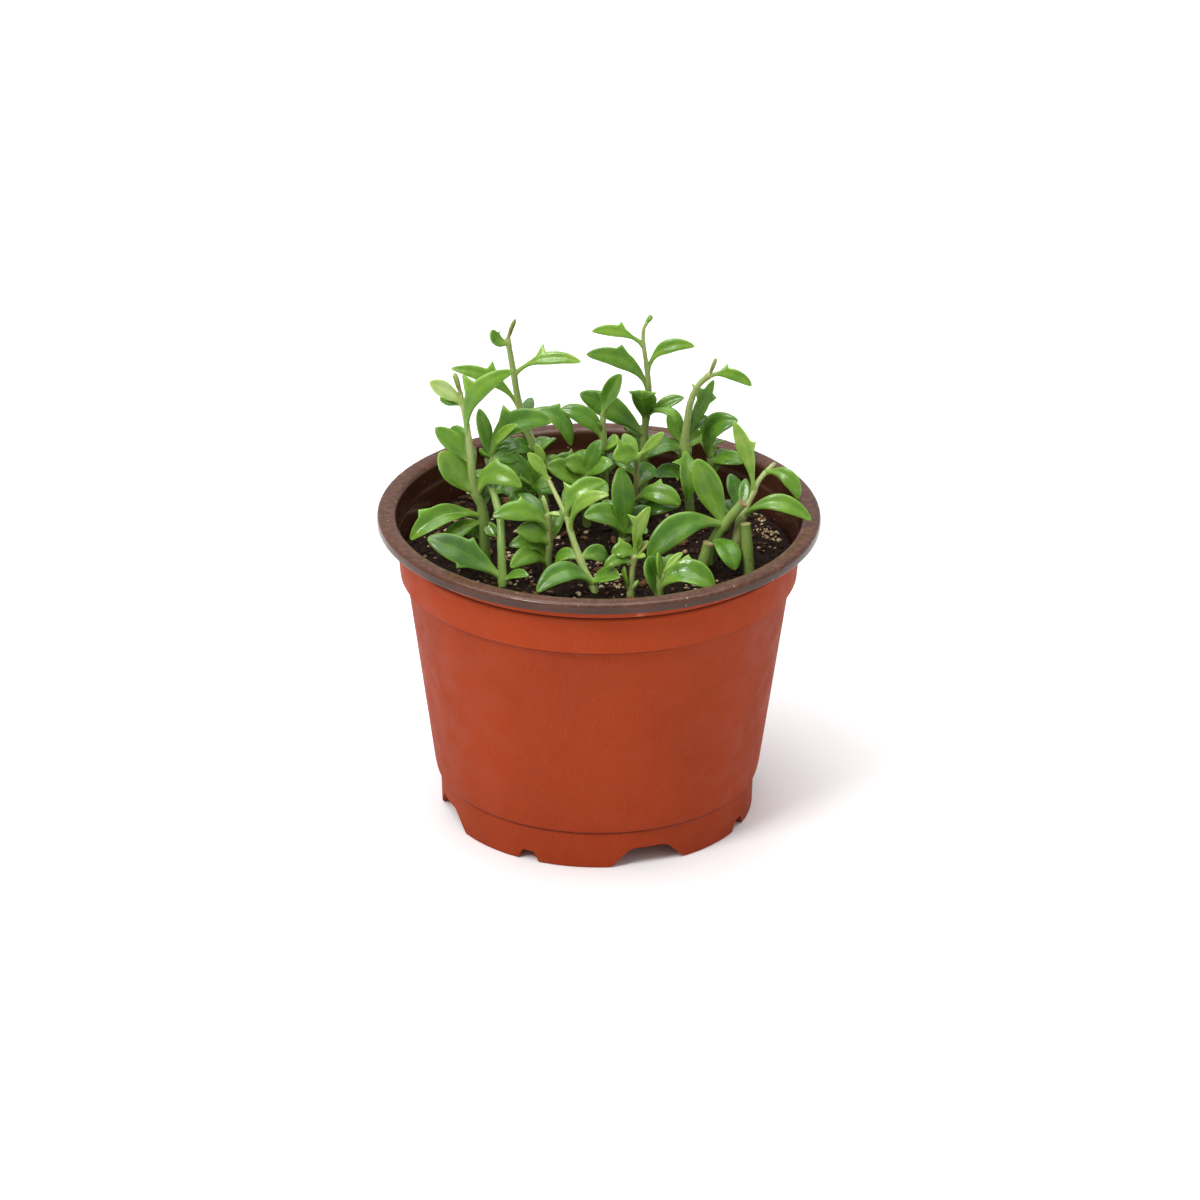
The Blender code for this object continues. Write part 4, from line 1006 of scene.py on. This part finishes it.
def grow_leaf(work, base, row, letter, sides, draw):
    """A fleshy blade along its arched midrib: a channel above, a keel below, and its fins on the margins."""
    _, dx, dy, dz, arch, width, roll, fins, fin_at = row
    reach = Vector((dx, dy, dz))
    along = reach.normalized()
    lift = (UP - along * along.z).normalized()
    right = along.cross(lift)
    bend = reach / 2 + lift * 2 * arch
    thickness = min(max(THICKNESS_SHARE * width, THICKNESS_RANGE[0]), THICKNESS_RANGE[1], width * 0.8)
    fold = 0.55 if letter == "g" else draw.uniform(0.14, 0.34)
    twist = draw.uniform(-7, 7)
    sway = Vector([draw.uniform(-50, 50) for _ in range(3)])
    # The leaf's tone: partly its own colour, partly painted shade or painted backlight
    tone = TONES[letter] + draw.uniform(-0.05, 0.05)
    blush = 0.5 if letter == "o" else 0.0
    shine = 1.0 if letter == "g" else draw.uniform(0.0, 0.45)
    if reach.length < 7:
        sides = 12
    rings = []
    for t in leaf_stations(reach.length, fins, fin_at):
        centre = base + bend * 2 * t * (1 - t) + reach * t**2
        tangent = (bend * 2 * (1 - 2 * t) + reach * 2 * t).normalized()
        upper = right.cross(tangent)
        turn = math.radians(roll + twist * math.sin(math.pi * t))
        across = right * math.cos(turn) - upper * math.sin(turn)
        face = upper * math.cos(turn) + right * math.sin(turn)
        half = half_width(t, width, reach.length) * (1 + 0.4 * math.exp(-((t / 0.06) ** 2)))
        thick = thickness * (0.7 + 0.3 * min(1.0, t / 0.4)) * min(1.0, ((1 - t) / 0.16) ** 0.55)
        blade = min(1.0, max(0.0, (t - 0.06) / 0.25))
        ring = []
        for k in range(sides):
            angle = 2 * math.pi * k / sides
            side, rise = math.cos(angle), math.sin(angle)
            margins = "Rr" if side > 0 else "TLl"
            fin = sum(FINS[mark] for mark in fins if mark in margins) * fin_share(t, fin_at) if fins else 0.0
            fin *= abs(side) ** 6
            crown = thick / 2 * math.copysign(abs(rise) ** (1 + 0.25 * blade), rise)
            if rise > 0:
                crown *= 1 - 0.2 * blade
                crown -= 0.17 * thick * blade * math.exp(-((side / 0.3) ** 2))
            else:
                crown *= 1 + 0.15 * blade
            cup = fold * blade * half * (side**2 - 0.35)
            lean = tangent * FIN_LEAN * reach.length * fin / 2.4
            place = centre + across * (half * side + math.copysign(fin, side)) + face * (crown + cup) + lean
            place += noise.noise_vector(place * 0.22 + sway) * 0.16 * blade
            marks = {"along": t, "across": side, "tone": tone, "stalk": 0.0, "blush": blush, "shine": shine}
            ring.append(add_point(work, place, marks))
        rings.append(ring)
    marks = {"along": 0.0, "across": 0.0, "tone": tone, "stalk": 0.0, "blush": blush, "shine": shine}
    root = add_point(work, base, marks)
    nose = add_point(work, base + reach, {**marks, "along": 1.0})
    join_rings(work, rings, root, nose)


def smooth_route(points, per_span=7):
    """Points on a smooth curve through the stem's own points, each with its share of the length."""
    route = [Vector(point) for point in points]
    padded = [route[0] - UP * 4, *route, route[-1] * 2 - route[-2]]
    found = []
    for i in range(1, len(padded) - 2):
        before, start, end, after = padded[i - 1 : i + 3]
        for step in range(per_span):
            t = step / per_span
            bend = (2 * before - 5 * start + 4 * end - after) * t**2
            twist = (3 * start - before - 3 * end + after) * t**3
            found.append((2 * start + (end - before) * t + bend + twist) / 2)
    found.append(route[-1])
    lengths = [0.0]
    for i in range(1, len(found)):
        lengths.append(lengths[-1] + (found[i] - found[i - 1]).length)
    return [(point, length / lengths[-1]) for point, length in zip(found, lengths)]


def point_at(route, share):
    """The point at this share of the route's length."""
    for (start, low), (end, high) in zip(route, route[1:]):
        if share <= high:
            return start.lerp(end, (share - low) / (high - low))
    return route[-1][0]


def grow_stem(work, route, radii, joints, stalk, cut, draw, sides=14):
    """A round tapering stem, swollen at its joints and buried in the soil. A cut one ends in a callus."""
    pale_foot, pale_tip, brown_foot, brown_tip = stalk
    points = [(route[0][0] - UP * STEM_DEPTH, 0.0), (route[0][0] - UP * 2, 0.0), *route]
    total = sum((b[0] - a[0]).length for a, b in zip(route, route[1:]))
    side = Vector((1, 0, 0))
    sway = Vector([draw.uniform(-50, 50) for _ in range(3)])
    rings = []

    def ring_at(centre, tangent, radius, share, brown):
        nonlocal side
        side = (side - tangent * side.dot(tangent)).normalized()
        other = tangent.cross(side)
        ring = []
        for k in range(sides):
            angle = 2 * math.pi * k / sides
            out = side * math.cos(angle) + other * math.sin(angle)
            place = centre + out * radius
            place += out * 0.09 * noise.noise(place * 0.9 + sway)
            marks = {
                "along": share,
                "across": math.cos(angle),
                "tone": pale_foot + (pale_tip - pale_foot) * min(1.0, share * 1.3),
                "stalk": 1.0,
                "blush": brown,
                "shine": 0.0,
            }
            ring.append(add_point(work, place, marks))
        rings.append(ring)

    for i, (point, share) in enumerate(points):
        before = points[max(i - 1, 0)][0]
        after = points[min(i + 1, len(points) - 1)][0]
        radius = radii[0] + (radii[1] - radii[0]) * share
        for joint in joints:
            radius *= 1 + 0.13 * math.exp(-(((share - joint) * total / 0.9) ** 2))
        brown = brown_foot + (brown_tip - brown_foot) * share**2
        ring_at(point, (after - before).normalized(), radius, share, brown)
    tip, tangent = points[-1][0], (points[-1][0] - points[-2][0]).normalized()
    radius = radii[1]
    if cut:
        ring_at(tip + tangent * 0.25, tangent, radius * 1.07, 1.0, 0.9)
        ring_at(tip + tangent * 0.45, tangent, radius * 0.95, 1.0, 1.0)
        ring_at(tip + tangent * 0.3, tangent, radius * 0.7, 1.0, 0.55)
        ring_at(tip + tangent * 0.1, tangent, radius * 0.35, 1.0, 0.8)
        pole = tip
    else:
        for rise, share in ((0.35, 0.9), (0.62, 0.68), (0.78, 0.38)):
            ring_at(tip + tangent * radius * rise, tangent, radius * share, 1.0, brown_tip)
        pole = tip + tangent * radius * 0.82
    root = add_point(work, points[0][0], {"stalk": 1.0, "tone": pale_foot})
    brown = 0.8 if cut else brown_tip
    last = add_point(work, pole, {"stalk": 1.0, "tone": pale_tip, "blush": brown, "along": 1.0})
    join_rings(work, rings, root, last)


def finished_growth(name, work, material):
    """The grown mesh as an object, its faces turned outwards and shaded smooth."""
    bmesh.ops.recalc_face_normals(work, faces=work.faces)
    mesh = bpy.data.meshes.new(name)
    work.to_mesh(mesh)
    work.free()
    obj = bpy.data.objects.new(name, mesh)
    bpy.context.scene.collection.objects.link(obj)
    mesh.materials.append(material)
    mesh.shade_smooth()
    return obj


def dress(piece, slot, *nodes):
    """The piece rides on the plant and stands for the nodes. The slot is not used."""
    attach(piece, "root")
    if nodes:
        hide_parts(*nodes)


class PLANT_OT_pot(bpy.types.Operator):
    """Forms the two-colour nursery pot, with its notched foot ring and its drain holes"""

    bl_idname = "plant.pot"
    bl_label = "Nursery pot"

    def execute(self, context):
        pot = context.scene.plant_pot
        rim, top, wall = pot.rim_radius / MM, pot.height / MM, pot.wall / MM
        lip_foot = top - pot.lip_drop / MM
        under = top - 0.8
        profile = [
            (RING_INNER - 0.3, FLOOR_UNDER, 0),
            (RING_INNER, 0.0, 0.3),
            (FOOT_RADIUS, 0.0, 0.5),
            (*FOOT_TOP, 0.35),
            (FOOT_TOP[0] + 0.75, FOOT_TOP[1] + 0.55, 0.5),
            (*WALL_FOOT, 2.2),
            (*SHOULDER, 0.35),
            (*COLLAR_FOOT, 0.45),
            (*COLLAR_TOP, 0.3),
            (COLLAR_TOP[0] - 0.35, GROOVE_Z, 0.15),
            (NECK_RADIUS, GROOVE_Z + 0.5, 0.4),
            (NECK_RADIUS + 0.5, under, 0.5),
            (rim - 0.8, under, 0.4),
            (rim - 0.75, lip_foot, 0.2),
            (rim, lip_foot, 0.35),
            (rim, top, 1.1),
            (MOUTH_RADIUS, top, 0.8),
            (MOUTH_RADIUS - 0.9, top - 0.9, 0.5),
            (NECK_RADIUS - 0.8, GROOVE_Z + 1, 0.5),
            (NECK_RADIUS - 1.3, GROOVE_Z, 0.5),
            (COLLAR_FOOT[0] - wall, COLLAR_FOOT[1], 0.8),
            (SHOULDER[0] - wall, SHOULDER[1], 1.0),
            (WALL_FOOT[0] - wall, WALL_FOOT[1] + 1, 1.5),
            (FOOT_TOP[0] - wall, FOOT_TOP[1], 1.0),
            (FOOT_TOP[0] - wall, FLOOR_UNDER + wall, 0.8),
            (8.0, FLOOR_UNDER + wall, 0),
        ]
        shell = turned("nursery_pot", rounded(profile), pot.steps)
        cutters = [notch_cutter(degrees, 9.6, 4.6, 5.0, 1.3) for degrees in WIDE_NOTCHES]
        cutters += [notch_cutter(degrees, 2.9, 1.6, 2.8, 0.6) for degrees in SMALL_NOTCHES]
        cutters += [drain_cutter(front_direction(degrees) * 24, 3.5, FLOOR_UNDER) for degrees in WIDE_NOTCHES]
        cutters.append(drain_cutter(Vector((0, 0, 0)), 3.5, FLOOR_UNDER))
        cut_away(shell, cutters)

        def layer(face):
            level = face.center.z / MM
            out = Vector((face.center.x, face.center.y, 0)).normalized()
            radius = math.hypot(face.center.x, face.center.y) / MM
            if level > lip_foot - 0.02:
                return 0 if radius < rim - 0.74 and face.normal.z < 0.3 and face.normal.dot(out) > -0.3 else 1
            inwards = face.normal.dot(out) < -0.3 and level > FLOOR_UNDER + wall + 0.05
            return 1 if inwards or (face.normal.z > 0.7 and level > FLOOR_UNDER + 0.5) else 0

        paint_by(shell, [terracotta_plastic(pot.terracotta), brown_plastic(pot.brown)], layer)
        only(shell)
        bpy.ops.object.shade_smooth_by_angle(angle=math.radians(32))
        dress(shell, "pot_plastic", "pot")
        return {"FINISHED"}


def displaced(obj, name, size, strength, depth, group):
    texture = bpy.data.textures.new(name, "CLOUDS")
    texture.noise_scale = size
    texture.noise_depth = depth
    lumps = obj.modifiers.new(name, "DISPLACE")
    lumps.texture = texture
    lumps.texture_coords = "LOCAL"
    lumps.direction = "Z"
    lumps.strength = strength
    lumps.mid_level = 0.5
    lumps.vertex_group = group


class PLANT_OT_soil(bpy.types.Operator):
    """Fills the pot with its root ball, lumpy on top and lower round the edge"""

    bl_idname = "plant.soil"
    bl_label = "Root ball"

    def execute(self, context):
        soil = context.scene.plant_soil
        pot = context.scene.plant_pot
        level, gap = soil.level / MM, pot.wall / MM + 0.3
        edge = COLLAR_FOOT[0] - gap
        profile = [
            (FOOT_TOP[0] - gap, FLOOR_UNDER + gap, 0),
            (FOOT_TOP[0] - gap, FOOT_TOP[1], 0),
            (WALL_FOOT[0] - gap, WALL_FOOT[1] + 1, 0),
            (SHOULDER[0] - gap, SHOULDER[1], 0),
            (edge, COLLAR_FOOT[1], 0),
            (edge + 0.2, level - 0.8, 0),
        ]
        rings = 74
        profile += [(edge * (1 - ring / rings) + 0.15, level, 0) for ring in range(rings)]
        ball = turned("root_ball", rounded(profile), 224)
        group = ball.vertex_groups.new(name="surface")
        for vertex in ball.data.vertices:
            radius = math.hypot(vertex.co.x, vertex.co.y) / MM
            if vertex.co.z > (level - 0.1) * MM:
                group.add([vertex.index], min(1.0, 0.25 + (edge - radius) / 5), "REPLACE")
        displaced(ball, "peat_lumps", 0.0075, soil.relief * 0.9, 2, "surface")
        displaced(ball, "peat_crumbs", 0.0021, soil.relief * 0.8, 3, "surface")
        apply_modifiers(ball)
        ball.data.materials.append(peat_material(soil.peat))
        ball.data.shade_smooth()
        dress(ball, "peat", "soil")
        return {"FINISHED"}


def drawn_stretch(draw, *ranges):
    """A random stretch along X, Y and Z, each in its own range."""
    return Matrix.Diagonal((*[draw.uniform(low, high) for low, high in ranges], 1))


def lay_grains(name, places, shape, material, draw):
    """Copies of one rough grain, each turned and sized by itself, half sunk where it lies."""
    deselect()
    bpy.ops.mesh.primitive_ico_sphere_add(subdivisions=2 if shape == "perlite" else 1, radius=0.5)
    grain_object = bpy.context.object
    first = grain_object.data
    work = bmesh.new()
    tones = work.verts.layers.float.new("tone")
    for place, size, tone in places:
        stretch = drawn_stretch(draw, (0.75, 1.35), (0.7, 1.1), (0.5, 0.85))
        if shape == "crumb":
            stretch = drawn_stretch(draw, (0.9, 2.1), (0.5, 0.9), (0.35, 0.7))
        spin = Matrix.Rotation(draw.uniform(0, 6.28), 4, "Z")
        turn = spin @ Matrix.Rotation(draw.uniform(-0.6, 0.6), 4, "X")
        set_down = Matrix.Translation(place * MM) @ turn @ stretch
        sway = Vector([draw.uniform(-50, 50) for _ in range(3)])
        copies = [work.verts.new(vertex.co) for vertex in first.vertices]
        for copy in copies:
            rough = 1 + 0.5 * noise.noise(copy.co * 2.6 + sway)
            copy.co = set_down @ (copy.co * size * rough * MM)
            copy[tones] = tone
        for face in first.polygons:
            work.faces.new([copies[i] for i in face.vertices])
    bpy.data.objects.remove(grain_object)
    obj = finished_growth(name, work, material)
    return obj


class PLANT_OT_grains(bpy.types.Operator):
    """Lays pale perlite and dark crumbs of bark and peat on the root ball"""

    bl_idname = "plant.grains"
    bl_label = "Grains on the soil"

    def execute(self, context):
        soil = context.scene.plant_soil
        draw = random.Random(7)
        ball = bpy.data.objects["root_ball"]
        surface = BVHTree.FromPolygons(
            [vertex.co for vertex in ball.data.vertices], [face.vertices[:] for face in ball.data.polygons]
        )

        def laid(x, y, sink):
            hit, _, _, _ = surface.ray_cast(Vector((x, y, 90)) * MM, -UP)
            return hit / MM + UP * sink

        pale = []
        for x, y, spread, count in PERLITE_PATCHES:
            made = 0
            while made < count:
                a, b = x + draw.gauss(0, spread / 2), y + draw.gauss(0, spread / 2)
                if spread > 20:
                    a, b = draw.uniform(-spread, spread), draw.uniform(-spread, spread)
                if math.hypot(a, b) < 45.5:
                    size = draw.choice((0.35, 0.5, 0.5, 0.7, 0.9, 1.3))
                    pale.append((laid(a, b, size * 0.12), size, draw.uniform(0.15, 1.0)))
                    made += 1
        perlite = grain_material("perlite", (0.22, 0.12, 0.045), soil.perlite)
        lay_grains("perlite", pale, "perlite", perlite, draw)
        dark = []
        while len(dark) < soil.crumbs:
            a, b = draw.uniform(-46.5, 46.5), draw.uniform(-46.5, 46.5)
            if math.hypot(a, b) < 46.4:
                size = draw.choice((0.7, 0.9, 1.2, 1.2, 1.7, 2.4))
                dark.append((laid(a, b, size * 0.1), size, draw.random() ** 3))
        crumbs = grain_material("bark_crumb", (0.012, 0.006, 0.004), (0.2, 0.1, 0.04))
        lay_grains("peat_crumbs", dark, "crumb", crumbs, draw)
        for name in ("perlite", "peat_crumbs"):
            dress(bpy.data.objects[name], "peat")
        return {"FINISHED"}


class PLANT_OT_leafy_stems(bpy.types.Operator):
    """Grows each leafy stem with its leaves, as one piece"""

    bl_idname = "plant.leafy_stems"
    bl_label = "Leafy stems"

    def execute(self, context):
        looks = context.scene.plant_leaves
        flesh = plant_material("leaf_flesh", looks)
        noise.seed_set(NOISE_SEED)
        for number, (name, shoot) in enumerate(SHOOTS.items()):
            draw = random.Random(100 + number)
            route = smooth_route(shoot["stem"])
            work = new_growth()
            joints = [row[0] for row in shoot["leaves"]]
            cut = name == "leafy_stem_cut_right"
            grow_stem(work, route, shoot["radii"], joints, shoot["stalk"], cut, draw)
            for row, letter in zip(shoot["leaves"], shoot["tones"]):
                grow_leaf(work, point_at(route, row[0]), row, letter, looks.sides, draw)
            piece = finished_growth(name.replace("leafy_stem", "shoot"), work, flesh)
            dress(piece, "leaf", name)
        return {"FINISHED"}


class PLANT_OT_stubs(bpy.types.Operator):
    """Grows the cut stems that have no leaves"""

    bl_idname = "plant.stubs"
    bl_label = "Cut stems"

    def execute(self, context):
        bark = plant_material("cut_stem_bark", context.scene.plant_leaves)
        for number, (name, stub) in enumerate(STUBS.items()):
            draw = random.Random(300 + number)
            work = new_growth()
            stalk = (0.1, 0.25, 0.25, 0.1)
            grow_stem(work, smooth_route(stub["stem"]), stub["radii"], [0.5], stalk, True, draw)
            piece = finished_growth(name.replace("stem_stub", "cut_stem"), work, bark)
            dress(piece, "cut_stem", name)
        return {"FINISHED"}


def area_light(name, place, size, power, target):
    bpy.ops.object.light_add(type="AREA", location=place)
    light = bpy.context.object
    light.name = name
    light.data.shape = "SQUARE"
    light.data.size = size
    light.data.energy = power
    light.rotation_euler = (Vector(target) - Vector(place)).to_track_quat("-Z", "Y").to_euler()
    return light


class PLANT_OT_stage(bpy.types.Operator):
    """Sets the pale floor, the soft lights and the camera"""

    bl_idname = "plant.stage"
    bl_label = "Stage"

    def execute(self, context):
        stage = context.scene.plant_stage
        deselect()
        bpy.ops.mesh.primitive_plane_add(size=14)
        floor = context.object
        floor.name = "floor"
        material, _, shader = new_material("white_floor")
        shader.inputs["Base Color"].default_value = (0.93, 0.93, 0.93, 1)
        shader.inputs["Roughness"].default_value = 0.9
        shader.inputs["Specular IOR Level"].default_value = 0.1
        floor.data.materials.append(material)

        target = (0, 0, 0.06)
        area_light("key_left", (-0.8, -0.9, 1.3), 0.5, stage.key, target)
        area_light("top", (-0.1, 0.1, 1.5), 1.6, stage.key * 1.5, target)
        area_light("fill_right", (1.3, -0.9, 0.7), 1.0, stage.key * 0.05, target)

        world = bpy.data.worlds.new("studio")
        context.scene.world = world
        world.use_nodes = True
        sky = world.node_tree.nodes["Background"]
        sky.inputs["Color"].default_value = (1, 1, 1, 1)
        sky.inputs["Strength"].default_value = stage.sky

        centre = Vector((0.0004, 0, 0.0539))
        back = Vector((0, -math.cos(stage.elevation), math.sin(stage.elevation)))
        bpy.ops.object.camera_add(location=centre + back * stage.distance)
        camera = context.object
        aim = (-back).to_track_quat("-Z", "Y").to_matrix().to_4x4() @ Matrix.Rotation(stage.lean, 4, "Z")
        camera.rotation_euler = aim.to_euler()
        camera.data.lens = stage.lens
        camera.data.sensor_width = 36
        camera.data.clip_end = 50
        context.scene.camera = camera
        context.scene.view_settings.view_transform = "Standard"
        return {"FINISHED"}


class PLANT_PT_panel(bpy.types.Panel):
    """Lists the plant's settings and pieces in the sidebar"""

    bl_idname = "PLANT_PT_panel"
    bl_label = "Potted string of dolphins"
    bl_space_type = "VIEW_3D"
    bl_region_type = "UI"
    bl_category = "Plant"

    def draw(self, context):
        for group, pieces in (
            ("plant_pot", ["plant.pot"]),
            ("plant_soil", ["plant.soil", "plant.grains"]),
            ("plant_leaves", ["plant.leafy_stems", "plant.stubs"]),
            ("plant_stage", ["plant.stage"]),
        ):
            box = self.layout.box()
            settings = getattr(context.scene, group)
            for name in settings.__annotations__:
                box.prop(settings, name)
            for piece in pieces:
                box.operator(piece)


GROUPS = {
    "plant_pot": PotSettings,
    "plant_soil": SoilSettings,
    "plant_leaves": LeafSettings,
    "plant_stage": StageSettings,
}
OPERATORS = (
    PLANT_OT_pot,
    PLANT_OT_soil,
    PLANT_OT_grains,
    PLANT_OT_leafy_stems,
    PLANT_OT_stubs,
    PLANT_OT_stage,
)


def register():
    for group in (*GROUPS.values(), *OPERATORS, PLANT_PT_panel):
        bpy.utils.register_class(group)
    for name, group in GROUPS.items():
        setattr(bpy.types.Scene, name, PointerProperty(type=group))


def unregister():
    for name in GROUPS:
        delattr(bpy.types.Scene, name)
    for group in reversed((*GROUPS.values(), *OPERATORS, PLANT_PT_panel)):
        bpy.utils.unregister_class(group)


def main():
    register()
    bpy.ops.plant.pot()
    bpy.ops.plant.soil()
    bpy.ops.plant.grains()
    bpy.ops.plant.leafy_stems()
    bpy.ops.plant.stubs()
    bpy.ops.plant.stage()


if __name__ == "__main__":
    main()
